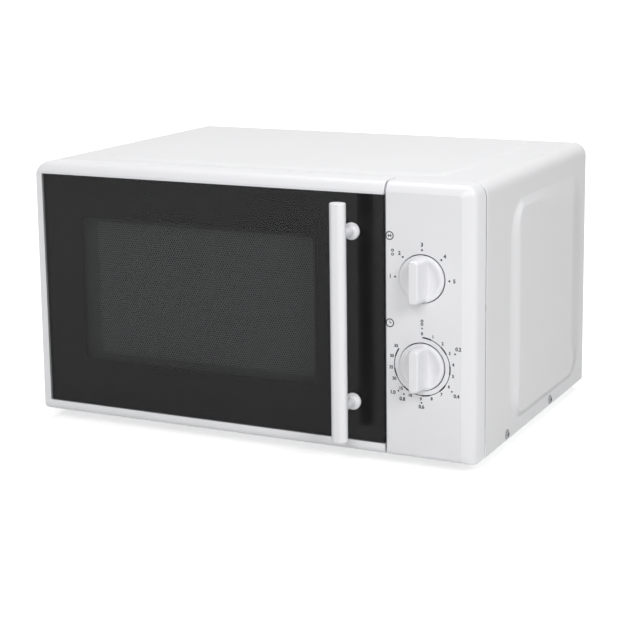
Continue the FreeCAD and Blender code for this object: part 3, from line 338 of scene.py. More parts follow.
def round_rectangle(x, z, radius, steps=8):
    """Points of a rounded rectangle, anticlockwise; radius may differ from corner to corner."""
    (x0, x1), (z0, z1) = x, z
    radii = radius if isinstance(radius, tuple) else (radius,) * 4
    points = []
    for r, (cx, sx), (cz, sz), start in zip(radii, ((x1, -1), (x1, -1), (x0, 1), (x0, 1)),
                                            ((z0, 1), (z1, -1), (z1, -1), (z0, 1)),
                                            (-90, 0, 90, 180)):
        for step in range(steps + 1):
            angle = math.radians(start + 90 * step / steps)
            points.append((cx + sx * r + r * math.cos(angle), cz + sz * r + r * math.sin(angle)))
    return points


def loft(bm, loops, caps=(True, True)):
    """Skin a stack of loops that have the same number of points."""
    rows = [[bm.verts.new(point) for point in loop] for loop in loops]
    count = len(rows[0])
    for one, two in zip(rows, rows[1:]):
        for index in range(count):
            follow = (index + 1) % count
            bm.faces.new((one[index], one[follow], two[follow], two[index]))
    if caps[0]:
        bm.faces.new(list(reversed(rows[0])))
    if caps[1]:
        bm.faces.new(rows[-1])
    return rows


def soft_box(bm, low, high, radius=0, segments=2):
    """A block with rounded edges."""
    size = Vector(high) - Vector(low)
    centre = (Vector(high) + Vector(low)) / 2
    made = bmesh.ops.create_cube(bm, size=1, matrix=Matrix.Translation(centre)
                                 @ Matrix.Diagonal((*size, 1)))
    edges = list({edge for vert in made["verts"] for edge in vert.link_edges})
    if radius > 0:
        bmesh.ops.bevel(bm, geom=edges, offset=radius, segments=segments, profile=0.5,
                        affect="EDGES", clamp_overlap=True)


def lathe(bm, profile, centre, axis, steps):
    """A closed solid of revolution; profile holds (radius, place on the axis) pairs."""
    loops = []
    for radius, along in profile:
        loop = []
        for step in range(steps):
            angle = 2 * math.pi * step / steps
            a, b = max(radius, 1e-6) * math.cos(angle), max(radius, 1e-6) * math.sin(angle)
            spot = {"X": (along, a, b), "Y": (a, along, b), "Z": (a, b, along)}[axis]
            loop.append(Vector(centre) + Vector(spot))
        loops.append(loop)
    loft(bm, loops)
    bmesh.ops.remove_doubles(bm, verts=bm.verts, dist=2e-6)


def bevel():
    """A soft bevel, as a cubic curve from the side to the face.

    Gives the place on the curve, the share drawn in, and the depth behind the face in
    millimetres, which starts at 9 and ends at 0.
    """
    for t in (0, 0.1, 0.2, 0.3, 0.4, 0.5, 0.6, 0.7, 0.78, 0.85, 0.9, 0.94, 0.97, 0.99, 1):
        share = 3 * 0.46 * (1 - t) * t * t + t ** 3
        back = 9 * (1 - t) ** 3 + 12.6 * (1 - t) ** 2 * t + 5.7 * (1 - t) * t * t
        yield t, share, back


def round_in(radius, back):
    """How far a rounded edge has drawn in at a depth behind the face."""
    rest = max(radius - back, 0)
    return radius - math.sqrt(radius * radius - rest * rest)


def circle(x, z, radius, y, steps=64):
    """Points of a circle at a depth, anticlockwise from the right."""
    turns = [2 * math.pi * k / steps for k in range(steps)]
    return [(x + radius * math.cos(turn), y, z + radius * math.sin(turn)) for turn in turns]


def stepped(radius, along, *steps):
    """Profile points, in millimetres away from a radius and from a place on the axis."""
    return [(radius + out * MM, along + on * MM) for out, on in steps]


def fill_flat(bm, *rings):
    """Fill the flat space between an outline and the holes in it."""
    edges = []
    for ring in rings:
        for one, two in zip(ring, ring[1:] + ring[:1]):
            edges.append(bm.edges.get((one, two)) or bm.edges.new((one, two)))
    bmesh.ops.triangle_fill(bm, use_beauty=True, edges=edges, normal=(0, -1, 0))


def outward(bm):
    bmesh.ops.recalc_face_normals(bm, faces=bm.faces)


def face_front(bm):
    """Turn flat faces that look to the rear round to the front."""
    bm.normal_update()
    for face in bm.faces:
        if face.normal.y > 0:
            face.normal_flip()


def bare_mesh(bm, name):
    mesh = bpy.data.meshes.new(name)
    bm.to_mesh(mesh)
    bm.free()
    return mesh


def to_mesh(bm, name, angle=38):
    """A mesh whose flat faces stay flat beside their rounded edges."""
    bm.normal_update()
    mesh = bare_mesh(bm, name)
    even_normals(mesh, angle)
    return mesh


def even_normals(mesh, angle):
    """Loop normals weighed by face area, broken at edges sharper than an angle."""
    limit = math.cos(math.radians(angle))
    faces = mesh.polygons
    around = [[] for _ in mesh.vertices]
    for face in faces:
        for vertex in face.vertices:
            around[vertex].append(face.index)
    normals = [face.normal.copy() for face in faces]
    areas = [face.area for face in faces]
    loops = [None] * len(mesh.loops)
    for face in faces:
        own = normals[face.index]
        for loop, vertex in zip(face.loop_indices, face.vertices):
            total = Vector()
            for other in around[vertex]:
                if own.dot(normals[other]) >= limit:
                    total += normals[other] * areas[other]
            loops[loop] = total.normalized() if total.length > 0 else own
    mesh.shade_smooth()
    mesh.normals_split_custom_set(loops)


def new_object(name, data):
    thing = bpy.data.objects.new(name, data)
    bpy.context.scene.collection.objects.link(thing)
    return thing


def piece(name, mesh, body, slot, *nodes, finish=None):
    """A finished mesh as an object that rides on a body; its finish is its slot's, or its own."""
    thing = new_object(name, mesh)
    mesh.materials.clear()
    mesh.materials.append(paint(finish or slot))
    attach(thing, body)
    if nodes:
        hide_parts(*nodes)


def mould(bm, name, body, slot, *nodes, angle=38, finish=None):
    """A drawn solid as a piece, its faces turned outwards."""
    outward(bm)
    piece(name, to_mesh(bm, name, angle), body, slot, *nodes, finish=finish)


def set_out(tree, mesh, name, slot, finish, *nodes, **layout):
    """Copies of a mesh, set out by a node tree, as one piece on the oven."""
    made = TREES[tree].run(mesh, name, Material=paint(finish), **layout)
    piece(name, made, "oven", slot, *nodes, finish=finish)


# Geometry node trees

class NodeTree:
    """A geometry node tree with named inputs."""

    def __init__(self, name, **inputs):
        self.tree = bpy.data.node_groups.new(name, "GeometryNodeTree")
        face = self.tree.interface
        face.new_socket("Geometry", in_out="INPUT", socket_type="NodeSocketGeometry")
        self.ids = {}
        for key, kind in inputs.items():
            self.ids[key] = face.new_socket(key, in_out="INPUT",
                                            socket_type=f"NodeSocket{kind}").identifier
        face.new_socket("Geometry", in_out="OUTPUT", socket_type="NodeSocketGeometry")
        self.start = self.tree.nodes.new("NodeGroupInput")
        self.end = self.tree.nodes.new("NodeGroupOutput")

    def given(self, name):
        return self.start.outputs[name]

    def add(self, kind, settings=None, out=0, **sockets):
        node = self.tree.nodes.new(kind)
        for key, value in (settings or {}).items():
            setattr(node, key, value)
        for key, value in sockets.items():
            socket = node.inputs[key.replace("_", " ")]
            if isinstance(value, bpy.types.NodeSocket):
                self.tree.links.new(value, socket)
            else:
                socket.default_value = value
        return node.outputs[out]

    def finish(self, geometry, weld=True):
        """Realise the copies, join their edges and give them their material."""
        real = self.add("GeometryNodeRealizeInstances", Geometry=geometry)
        if weld:
            real = self.add("GeometryNodeMergeByDistance", Geometry=real, Distance=0.02 * MM)
        done = self.add("GeometryNodeSetMaterial", Geometry=real, Material=self.given("Material"))
        self.tree.links.new(done, self.end.inputs[0])

    def run(self, mesh, name, **values):
        """Apply the tree to a mesh and return the plain result."""
        thing = new_object(name, mesh)
        modifier = thing.modifiers.new(name, "NODES")
        modifier.node_group = self.tree
        for key, value in values.items():
            modifier[self.ids[key]] = value
        bpy.context.view_layer.update()
        evaluated = thing.evaluated_get(bpy.context.evaluated_depsgraph_get())
        result = bpy.data.meshes.new_from_object(evaluated)
        thing.modifiers.clear()
        bpy.data.objects.remove(thing)
        result.name = name
        return result


def grid_tree():
    """Copies of a cell on a flat grid: columns along one step, rows along another."""
    tree = NodeTree("grid_of_cells", Columns="Int", Rows="Int", Column_step="Vector",
                    Row_step="Vector", Material="Material")

    def line(count, step, shape):
        points = tree.add("GeometryNodeMeshLine", {"mode": "OFFSET"}, Count=count, Offset=step)
        return tree.add("GeometryNodeInstanceOnPoints", Points=points, Instance=shape)

    row = line(tree.given("Columns"), tree.given("Column_step"), tree.given("Geometry"))
    tree.finish(line(tree.given("Rows"), tree.given("Row_step"), row))
    return tree


def dial_tree():
    """Copies of a mark turned about a dial's centre in even steps."""
    tree = NodeTree("marks_on_dial", Count="Int", Start="Float", Step="Float", Centre="Vector",
                    Material="Material")
    points = tree.add("GeometryNodePoints", Count=tree.given("Count"))
    index = tree.add("GeometryNodeInputIndex")
    turn = tree.add("ShaderNodeMath", {"operation": "MULTIPLY_ADD"})
    for source, socket in zip((index, tree.given("Step"), tree.given("Start")), turn.node.inputs):
        tree.tree.links.new(source, socket)
    rotation = tree.add("ShaderNodeCombineXYZ", Y=turn)
    copies = tree.add("GeometryNodeInstanceOnPoints", Points=points,
                      Instance=tree.given("Geometry"), Rotation=rotation)
    moved = tree.add("GeometryNodeTransform", Geometry=copies, Translation=tree.given("Centre"))
    tree.finish(moved, weld=False)
    return tree


MATERIALS = {}
TREES = {}


def paint(name):
    return MATERIALS[name]


class OvenOperator(bpy.types.Operator):
    """Shared settings of the oven's operators."""

    bl_options = {"REGISTER"}

    @property
    def sizes(self):
        return bpy.context.scene.oven_sizes

    @property
    def colours(self):
        return bpy.context.scene.oven_colours


class OVEN_OT_materials(OvenOperator):
    """Mix every paint, plastic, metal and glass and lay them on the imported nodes."""

    bl_idname = "oven.materials"
    bl_label = "Materials"

    def execute(self, context):
        c = self.colours
        white = tuple(c.moulding)
        MATERIALS.update({
            "white_paint": painted_metal("white_powder_coat", tuple(c.coat)),
            "white_plastic": moulded_plastic("white_moulding", white),
            "knob_plastic": moulded_plastic("knob_moulding", white, rough=0.3, strength=0.05),
            "handle_plastic": moulded_plastic("handle_moulding", shade(white, 1.02), rough=0.28,
                                              strength=0.04),
            # The ink is the dials' print and also the painted shade in the knob gaps
            "ink": moulded_plastic("printed_ink_and_well_shade", tuple(c.ink), rough=0.5, strength=0.02),
            "door_glass": clear_glass("tinted_door_glass", (0.016, 0.016, 0.017), 0.44, gloss=0.25),
            "black_print": moulded_plastic("black_glass_print", tuple(c.black_print), rough=0.25),
            "screen_paint": painted_metal("screen_coat", tuple(c.screen), rough=0.42),
            # The door pan's paint is the screen paint at half brightness: painted shade for the pan
            # seen round the window behind the glass
            "shaded_pan_paint": painted_metal("door_pan_painted_shade", shade(tuple(c.screen), 0.5), rough=0.45),
            "choke_plastic": moulded_plastic("choke_moulding", (0.045, 0.045, 0.048), rough=0.45),
            "clear_film": clear_glass("clear_film", (0.2, 0.205, 0.21), 0.35, 0.12),
            "galvanised": sheet_steel("zinc_coated_sheet", (0.55, 0.56, 0.57), 0.36),
            "cavity_enamel": painted_metal("cavity_enamel", tuple(c.enamel), grain=500, rough=0.36),
            "screw_steel": bright_metal("screw_steel", (0.3, 0.3, 0.31)),
            # The screw crosses are near-black metal boxes that stand proud of the heads: painted
            # shade for the recesses of the cross heads
            "screw_cross_shade": bright_metal("screw_recess_painted_shade", (0.05, 0.05, 0.055), 0.6),
            "foot_rubber": moulded_plastic("foot_moulding", (0.03, 0.03, 0.03), rough=0.6),
            "black_plastic": moulded_plastic("black_moulding", (0.025, 0.025, 0.025), rough=0.45),
            "mica": moulded_plastic("mica_sheet", (0.42, 0.36, 0.26), rough=0.5, grain=120,
                                    strength=0.2),
            "aluminium": bright_metal("bare_aluminium", (0.75, 0.75, 0.76), 0.32),
            "antenna": bright_metal("antenna_cap", (0.7, 0.68, 0.62), 0.2),
            "lamination": banded_metal("steel_laminations", (0.2, 0.2, 0.21), "Y", 160.0, 1.2, 0.7,
                                       0.5, 0.5, 0.2),
            "copper": banded_metal("enamelled_copper", (0.55, 0.2, 0.07), "Z", 150.0, 1.15, 0.85,
                                   0.35, 0.6, 0.3, 0.4),
            "white_duct": moulded_plastic("natural_plastic", (0.68, 0.67, 0.63), rough=0.5),
            "lamp_glass": clear_glass("lamp_glass", (0.9, 0.9, 0.86), 0.3),
            "circuit_board": board_laminate("circuit_board"),
            "table_glass": clear_glass("turntable_glass", (0.62, 0.72, 0.7), 0.32, 0.05),
            "spindle_plastic": moulded_plastic("spindle_moulding", (0.6, 0.6, 0.6), rough=0.5),
            "spring_steel": bright_metal("spring_wire", (0.4, 0.4, 0.41)),
        })
        slots = {part["node"]: part["material_slot"] for part in frame["record"]["subparts"]}
        # The door chassis takes the half-bright copy of the screen paint, as painted shade
        slots["door_chassis"] = "shaded_pan_paint"
        for name, node in frame["nodes"].items():
            node.data.materials.clear()
            node.data.materials.append(paint(slots[name]))
        TREES["grid"] = grid_tree()
        TREES["dial"] = dial_tree()
        return {"FINISHED"}


def smoothstep(value):
    value = min(max(value, 0.0), 1.0)
    return value * value * (3 - 2 * value)


def ease(value):
    """A ramp from 0 to 1 that is straight in its middle and soft at its ends."""
    value = min(max(value, 0.0), 1.0)
    return 0.45 * value + 0.55 * smoothstep(value)


def emboss_rise(u, v, area, corner, ramps):
    """Height from 0 to 1 of a raised rounded rectangle; ramps are (left, right, low, high)."""
    (u0, u1), (v0, v1) = area
    cu, cv = (u0 + u1) / 2, (v0 + v1) / 2
    du, dv = abs(u - cu) - ((u1 - u0) / 2 - corner), abs(v - cv) - ((v1 - v0) / 2 - corner)
    if du > 0 and dv > 0:
        length = math.hypot(du, dv)
        distance, gu, gv = length - corner, du / length, dv / length
    else:
        distance = max(du, dv) - corner
        gu, gv = (1, 0) if du > dv else (0, 1)
    ramp_u = ramps[0] if u < cu else ramps[1]
    ramp_v = ramps[2] if v < cv else ramps[3]
    ramp = gu * gu * ramp_u + gv * gv * ramp_v
    return ease(-distance / ramp)


def dense_lines(low, high, fine, coarse_step, fine_step):
    """Grid lines from low to high, closer together in the fine spans."""
    lines = [low]
    while lines[-1] < high - 1e-6:
        here = lines[-1]
        inside = any(a <= here < b for a, b in fine)
        step = fine_step if inside else coarse_step
        nearest = min([a for a, b in fine if a > here + 1e-6] + [high])
        follow = here + step
        if not inside and follow > nearest:
            follow = nearest
        lines.append(min(follow, high))
    if lines[-1] - lines[-2] < 0.3 * fine_step:
        lines.pop(-2)
    return lines


class OVEN_OT_cover(OvenOperator):
    """Wrap the cabinet in its painted sheet with softly raised side and top panels."""

    bl_idname = "oven.cover"
    bl_label = "Cover"

    def execute(self, context):
        s = self.sizes
        low, high = COVER
        rise, r, sheet = s.emboss_height, s.cover_round, 0.8 * MM
        self.rise, self.deepen = rise, s.emboss_shade
        x0, x1, z0, z1 = low.x + rise, high.x - rise, low.z, high.z - rise
        y0, y1 = low.y, high.y
        self.side = ((low.y + 61 * MM, y1 - 12 * MM), (z0 + 12 * MM, z1 - 26 * MM))
        self.top = ((x0 + 44 * MM, x1 - 44 * MM), (low.y + 12 * MM, y1 - 12 * MM))
        side_y, side_z = self.side
        top_x, top_y = self.top
        fine_z, fine_x, fine_y = (
            [(at - before * MM, at + after * MM) for at, before, after in ends] for ends in (
                ((side_z[0], 1, 30), (side_z[1], 36, 1)), ((top_x[0], 1, 28), (top_x[1], 28, 1)),
                ((top_y[0], 1, 28), (side_y[0], 1, 44), (top_y[1], 36, 1))))
        ups = dense_lines(z0, z1 - r, fine_z, 9 * MM, 1.6 * MM)
        acrosses = dense_lines(x0 + r, x1 - r, fine_x, 10 * MM, 1.6 * MM)
        hem = 0.9 * MM
        depths = [y0 + hem * part for part in (0.0, 0.08, 0.25, 0.55)]
        depths += dense_lines(y0 + hem, y1, fine_y, 9 * MM, 1.6 * MM)
        profile = [((x0, z), (-1, 0)) for z in ups]
        profile += [self.arc(x0 + r, z1 - r, r, 180 - 90 * k / 10) for k in range(1, 10)]
        profile += [((x, z1), (0, 1)) for x in acrosses]
        profile += [self.arc(x1 - r, z1 - r, r, 90 - 90 * k / 10) for k in range(1, 10)]
        profile += [((x1, z), (1, 0)) for z in reversed(ups)]
        bm = bmesh.new()
        skins, shading = [], {}
        for depth, inward in ((0, False), (sheet, True)):
            grid = []
            for y in depths:
                line = []
                roll = max(0.0, 1 - (y - y0) / hem)
                fold = 0 if inward else 0.6 * MM * (1 - math.sqrt(1 - roll * roll))
                for (x, z), normal in profile:
                    push = self.lift(x, y, z, normal) - depth - fold * abs(normal[0])
                    back = s.cover_seam * abs(normal[0]) * max(0.0, 1 - (y - y0) / (20 * MM))
                    vert = bm.verts.new((x + normal[0] * push, y + back, z + normal[1] * push))
                    line.append(vert)
                    facing = self.shading(x, y, z, normal)
                    if not inward:
                        facing = (facing - Vector((0, 1.3 * roll * abs(normal[0]), 0))).normalized()
                    shading[vert] = facing * (-1 if inward else 1)
                grid.append(line)
            skins.append(grid)
        outer, inner = skins
        smooth = set()
        for skin in skins:
            for one, two in zip(skin, skin[1:]):
                for k in range(len(profile) - 1):
                    quad = (one[k], one[k + 1], two[k + 1], two[k])
                    smooth.add(bm.faces.new(quad if skin is outer else quad[::-1]))
        for k in range(len(profile) - 1):
            bm.faces.new((outer[0][k + 1], outer[0][k], inner[0][k], inner[0][k + 1]))
            bm.faces.new((outer[-1][k], outer[-1][k + 1], inner[-1][k + 1], inner[-1][k]))
        for j in range(len(depths) - 1):
            bm.faces.new((outer[j][0], outer[j + 1][0], inner[j + 1][0], inner[j][0]))
            bm.faces.new((outer[j + 1][-1], outer[j][-1], inner[j][-1], inner[j + 1][-1]))
        bm.normal_update()
        loops = []
        for face in bm.faces:
            face.smooth = True
            for loop in face.loops:
                loops.append(shading[loop.vert] if face in smooth else face.normal.copy())
        first = next(iter(smooth))
        turned = first.normal.dot(shading[first.verts[0]]) < 0
        mesh = bare_mesh(bm, "cabinet_wrap")
        if turned:
            raise RuntimeError("the cover's faces point inwards")
        mesh.normals_split_custom_set(loops)
        piece("cabinet_wrap", mesh, "oven", "white_paint", "cabinet_cover")
        return {"FINISHED"}

    def lift(self, x, y, z, normal):
        """How far the sheet is raised at a place."""
        if normal == (0, 1):
            return self.rise * emboss_rise(x, y, self.top, 26 * MM,
                                           (6 * MM, 6 * MM, 9 * MM, 7 * MM))
        if normal[1] == 0:
            fade = smoothstep((y - self.side[0][0] - 60 * MM) / (110 * MM))
            return self.rise * emboss_rise(y, z, self.side, 34 * MM,
                                           (24 * MM, 34 * MM, 5 * MM, (8 + 22 * fade) * MM))
        return 0

    def shading(self, x, y, z, normal):
        """The sheet's normal, with the slopes of its raised panels deepened."""
        step = 0.4 * MM
        across = Vector((-normal[1], 0, normal[0]))
        slopes = []
        for direction in (across, Vector((0, 1, 0))):
            ahead, behind = (self.lift(x + direction.x * d, y + direction.y * d,
                                       z + direction.z * d, normal) for d in (step, -step))
            slopes.append((ahead - behind) / (2 * step) * (self.deepen if normal[0] else 1))
        face = Vector((normal[0], 0, normal[1]))
        return (face - across * slopes[0] - Vector((0, slopes[1], 0))).normalized()

    def arc(self, cx, cz, radius, angle):
        turn = math.radians(angle)
        normal = (math.cos(turn), math.sin(turn))
        return (cx + radius * normal[0], cz + radius * normal[1]), normal


class OVEN_OT_fascia(OvenOperator):
    """Mould the control panel: a flat face inside a soft crease, dished for the two knobs."""

    bl_idname = "oven.fascia"
    bl_label = "Control panel"

    def execute(self, context):
        low, high = PANEL
        wall, deepest = 2.5 * MM, 9 * MM
        inside, rebate = (2.5, 2.5, 2.5, 2.2), (2, 0, 2, 0)
        loops = [self.outline(y, insets, corners) for y, insets, corners in (
            (low.y + wall, (14, 10, 3, 2.5), (3, 3, 1, 1)),
            (low.y + deepest + wall, inside, (1, 9, 1, 1)), (high.y, inside, (1, 9, 1, 1)),
            (high.y, rebate, (0.5, 11, 0.5, 0.5)),
            (high.y - 1.1 * MM, rebate, (0.5, 11, 0.5, 0.5)),
            (high.y - 1.1 * MM, (0, 0, 0, 0), (0.5, 12, 0.5, 0.5)))]
        for t, inward, back in bevel():
            insets = (12 * inward, 8.5 * inward, round_in(4.6, back), round_in(1.5, back))
            corners = (0.5 + 2.5 * t, 12 - 9 * t, 0.5 + t, 0.5 + t)
            loops.append(self.outline(low.y + back * MM, insets, corners))
        bm = bmesh.new()
        rows = loft(bm, loops, caps=(False, False))
        inner, outer = [rows[0]], [rows[-1]]
        for box in (POWER, TIMER):
            centre, dish = middle(box), (box[1].x - box[0].x) / 2 + 0.8 * MM
            profile = stepped(dish, 0, (0.25, 0), (0, 0.2), (0, 1.25), (-0.2, 1.4))
            profile += [(3.8 * MM, 1.4 * MM), (3.8 * MM, wall)]
            tube = loft(bm, [circle(centre.x, centre.z, radius, low.y + back)
                             for radius, back in profile], caps=(False, False))
            outer.append(tube[0])
            inner.append(tube[-1])
        fill_flat(bm, *outer)
        fill_flat(bm, *inner)
        mould(bm, "control_fascia", "oven", "white_plastic", "control_panel", angle=14)
        return {"FINISHED"}

    def outline(self, y, insets, corners):
        """A loop drawn in from the panel's right, top, bottom and left sides, in millimetres."""
        low, high = PANEL
        right, top, bottom, left = (inset * MM for inset in insets)
        points = round_rectangle((low.x + left, high.x - right), (low.z + bottom, high.z - top),
                                 tuple(corner * MM for corner in corners))
        return [Vector((x, y, z)) for x, z in points]


class OVEN_OT_mouth(OvenOperator):
    """Cut the front plate round the cavity mouth and the two latch slots."""

    bl_idname = "oven.mouth"
    bl_label = "Front plate"

    def execute(self, context):
        low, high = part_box("front_frame")
        hooks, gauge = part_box("latch_hooks"), 0.8 * MM
        edge = round_rectangle((low.x + 4 * MM, high.x - 4 * MM),
                               (low.z + gauge, high.z + 0.6 * MM), 8 * MM)
        mouth = round_rectangle((LINER[0].x + gauge, LINER[1].x - gauge),
                                (LINER[0].z + gauge, LINER[1].z - gauge), 5 * MM)
        slot_x = (hooks[0].x - 3 * MM, hooks[1].x + 3.5 * MM)
        slots = [round_rectangle(slot_x, (at + foot * MM, at + head * MM), 1 * MM)
                 for at, foot, head in ((hooks[0].z, 2, 22), (hooks[1].z, -18, 2))]
        bm = bmesh.new()
        ends = []
        for outline in (edge, mouth, *slots):
            rows = loft(bm, [[Vector((x, y, z)) for x, z in outline]
                             for y in (low.y - 1 * MM, high.y)], caps=(False, False))
            ends.append(rows)
        for side in (0, 1):
            fill_flat(bm, *(rows[side] for rows in ends))
        mould(bm, "mouth_plate", "oven", "white_paint", "front_frame")
        return {"FINISHED"}


class OVEN_OT_door_surround(OvenOperator):
    """Mould the door: soft bevel at the top, flat border at the left, full lip at the foot."""

    bl_idname = "oven.door_surround"
    bl_label = "Door surround"

    def execute(self, context):
        low, high = DOOR
        self.floor = MASK[1].y
        seat, depth = self.floor - low.y, high.y - low.y
        ledge, hollow = (12, 16.5, 15, 12.5), (5, 5, 5, 5)
        loops = [self.outline(insets, corners, back) for insets, corners, back in (
            ((0, 11, 9.5, 7), (0.01, 0.01, 1, 1), seat), (ledge, (1, 1, 1, 1), seat),
            (ledge, (1, 1, 1, 1), 7 * MM), (hollow, (1, 1, 9, 1), 7 * MM),
            (hollow, (1, 1, 9, 1), depth), ((0, 0, 0, 0), (0.5, 0.5, 12, 3), depth))]
        for t, inward, back in bevel():
            insets = (round_in(0.6, back), 9 * inward, round_in(5, back), round_in(1.8, back))
            corners = (0.5, 0.5, 12 - 7 * t, 3)
            loops.append(self.outline(insets, corners, back * MM))
        for share in (0.22, 0.45, 0.65, 0.8, 0.9, 0.96, 1):
            insets = (0.6 * (1 - share), 9 + 2 * share, 5 + 4.5 * share, 1.8 + 5.2 * share)
            right = 0.5 * (1 - share) + 0.01
            loops.append(self.outline(insets, (right, right, 5 - 4 * share, 3 - 2 * share), 0))
        bm = bmesh.new()
        loft(bm, loops + loops[:1], caps=(False, False))
        bmesh.ops.remove_doubles(bm, verts=bm.verts, dist=0.003 * MM)
        mould(bm, "door_surround", "door", "white_plastic", "door_frame", angle=15)
        return {"FINISHED"}

    def outline(self, insets, corners, back):
        """A loop at a depth behind the face, notched at the right where the glass runs out."""
        low, high = DOOR
        right, top, bottom, left = (inset * MM for inset in insets)
        z0, z1 = low.z + bottom, high.z - top
        points = round_rectangle((low.x + left, high.x - right), (z0, z1),
                                 tuple(corner * MM for corner in corners))
        x, nick = high.x - right, 0.1 * MM
        notch = [(x, max(z, z0)) for z in (GLASS[0].z - nick, GLASS[0].z)]
        notch += [(x, min(z, z1)) for z in (GLASS[1].z, GLASS[1].z + nick)]
        loop = []
        for index, (px, pz) in enumerate(points[:9] + notch + points[9:]):
            y = low.y + back - self.swell(pz) * max(0, 1 - back / (9 * MM))
            if index in (10, 11):
                y = max(y, self.floor)
            loop.append(Vector((px, y, pz)))
        return loop

    def swell(self, z):
        """How far the lip stands out at a height."""
        share = min(max((z - DOOR[0].z) / (GLASS[0].z - DOOR[0].z), 0), 1)
        return 1.3 * MM * math.sin(math.pi * share) ** 0.7 if 0 < share < 1 else 0


class OVEN_OT_louvres(OvenOperator):
    """Press a hood over each air slot of the rear panel and screw the panel down."""

    bl_idname = "oven.louvres"
    bl_label = "Rear louvres"

    def execute(self, context):
        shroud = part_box("fan_shroud")
        wall = REAR[1].y
        rows = ((shroud[0].x + 12 * MM, shroud[1].x - 12 * MM, shroud[0].z + 14 * MM, 10,
                 (shroud[1].z - shroud[0].z - 32 * MM) / 9, "fan"),
                (LINER[0].x + 30.8 * MM, LINER[0].x + 110.8 * MM, REAR[0].z + 60 * MM, 7, 9 * MM,
                 "cavity"))
        for x0, x1, z0, count, pitch, name in rows:
            bm = bmesh.new()
            loops = []
            for share in (0.0, 0.03, 0.07, 0.12, 0.5, 0.88, 0.93, 0.97, 1.0):
                swell = 0.08 + 0.92 * ease(min(share, 1 - share) / 0.1)
                profile = ((-0.3, 5.2), (0.35, 4.9), (0.8, 4.0), (1.05, 2.9), (1.1, 2.0),
                           (0.75, 2.0), (0.6, 2.9), (0.35, 3.7), (-0.3, 4.2))
                x = x0 + (x1 - x0) * share
                loops.append([Vector((x, wall + out * MM * swell, z0 + up * MM))
                              for out, up in profile])
            loft(bm, loops)
            outward(bm)
            set_out("grid", to_mesh(bm, "hood", 50), f"{name}_louvres", "galvanised", "galvanised",
                    Columns=1, Rows=count, Column_step=(0, 0, 0), Row_step=(0, 0, pitch))
        bm = bmesh.new()
        low, high = REAR
        inset, head = 12 * MM, 3.6 * MM
        profile = stepped(0, wall, (0, -3), (1.6, -3), (1.6, 0))
        profile += [(head * share, wall + rise * MM) for share, rise in (
            (1, 0), (1, 0.3), (0.9, 0.65), (0.65, 0.95), (0.3, 1.08), (0, 1.1))]
        corner = (low.x + inset, 0, low.z + inset)
        lathe(bm, profile, corner, "Y", 28)
        outward(bm)
        # The dark cross on each rear screw is painted shade for its recess
        cross = bmesh.new()
        for across, tall in ((2.0, 0.4), (0.4, 2.0)):
            soft_box(cross, (corner[0] - across * MM, wall + 0.8 * MM, corner[2] - tall * MM),
                     (corner[0] + across * MM, wall + 1.13 * MM, corner[2] + tall * MM))
        for mesh, name, finish in ((to_mesh(bm, "rear_screw"), "rear_screws", "screw_steel"),
                                   (to_mesh(cross, "rear_cross_shade"), "rear_cross_shades", "screw_cross_shade")):
            set_out("grid", mesh, name, "screw_steel", finish, Columns=3, Rows=2,
                    Column_step=((high.x - low.x - 2 * inset) / 2, 0, 0),
                    Row_step=(0, 0, high.z - low.z - 2 * inset))
        return {"FINISHED"}


class OVEN_OT_turntable(OvenOperator):
    """Press the glass plate, with its raised rim, ridges and drive lugs."""

    bl_idname = "oven.turntable"
    bl_label = "Turntable"

    def execute(self, context):
        low, high = TURNTABLE
        centre, radius = middle(TURNTABLE), (high.x - low.x) / 2
        z = low.z + 5 * MM
        top = z + 5 * MM
        profile = [(0, z)]
        profile += stepped(radius, z, (-14, 0), (-11, 0.4), (-3, 5.2), (-0.6, 6.6), (0, 7.4),
                           (-0.1, 8.5), (-1, 9), (-2.6, 8.9), (-5, 7.6))
        profile += stepped(radius, top, (-13, 0.3), (-16, 0))
        for ridge in (0.72, 0.48, 0.26):
            profile += stepped(radius * ridge, top, (1.6, 0), (0.8, 0.35), (0, 0.5), (-0.8, 0.35),
                               (-1.6, 0))
        profile += [(0, top)]
        bm = bmesh.new()
        lathe(bm, profile, (centre.x, centre.y, 0), "Z", 128)
        mould(bm, "turntable_plate", "turntable", "table_glass", "glass_turntable", angle=40)
        bm = bmesh.new()
        lathe(bm, stepped(0, 0, (0, 0), (3.2, 0), (4, 0.8), (4, 6), (0, 6)),
              (-17 * MM, 0, low.z), "Z", 20)
        outward(bm)
        bm.transform(Matrix.Rotation(math.pi / 2, 4, "X"))
        lugs = TREES["dial"].run(to_mesh(bm, "lug"), "turntable_lugs", Count=3, Start=0.0,
                                 Step=math.radians(120), Centre=(0, 0, 0),
                                 Material=paint("table_glass"))
        lugs.transform(Matrix.Translation((centre.x, centre.y, 0))
                       @ Matrix.Rotation(-math.pi / 2, 4, "X"))
        piece("turntable_lugs", lugs, "turntable", "table_glass")
        return {"FINISHED"}


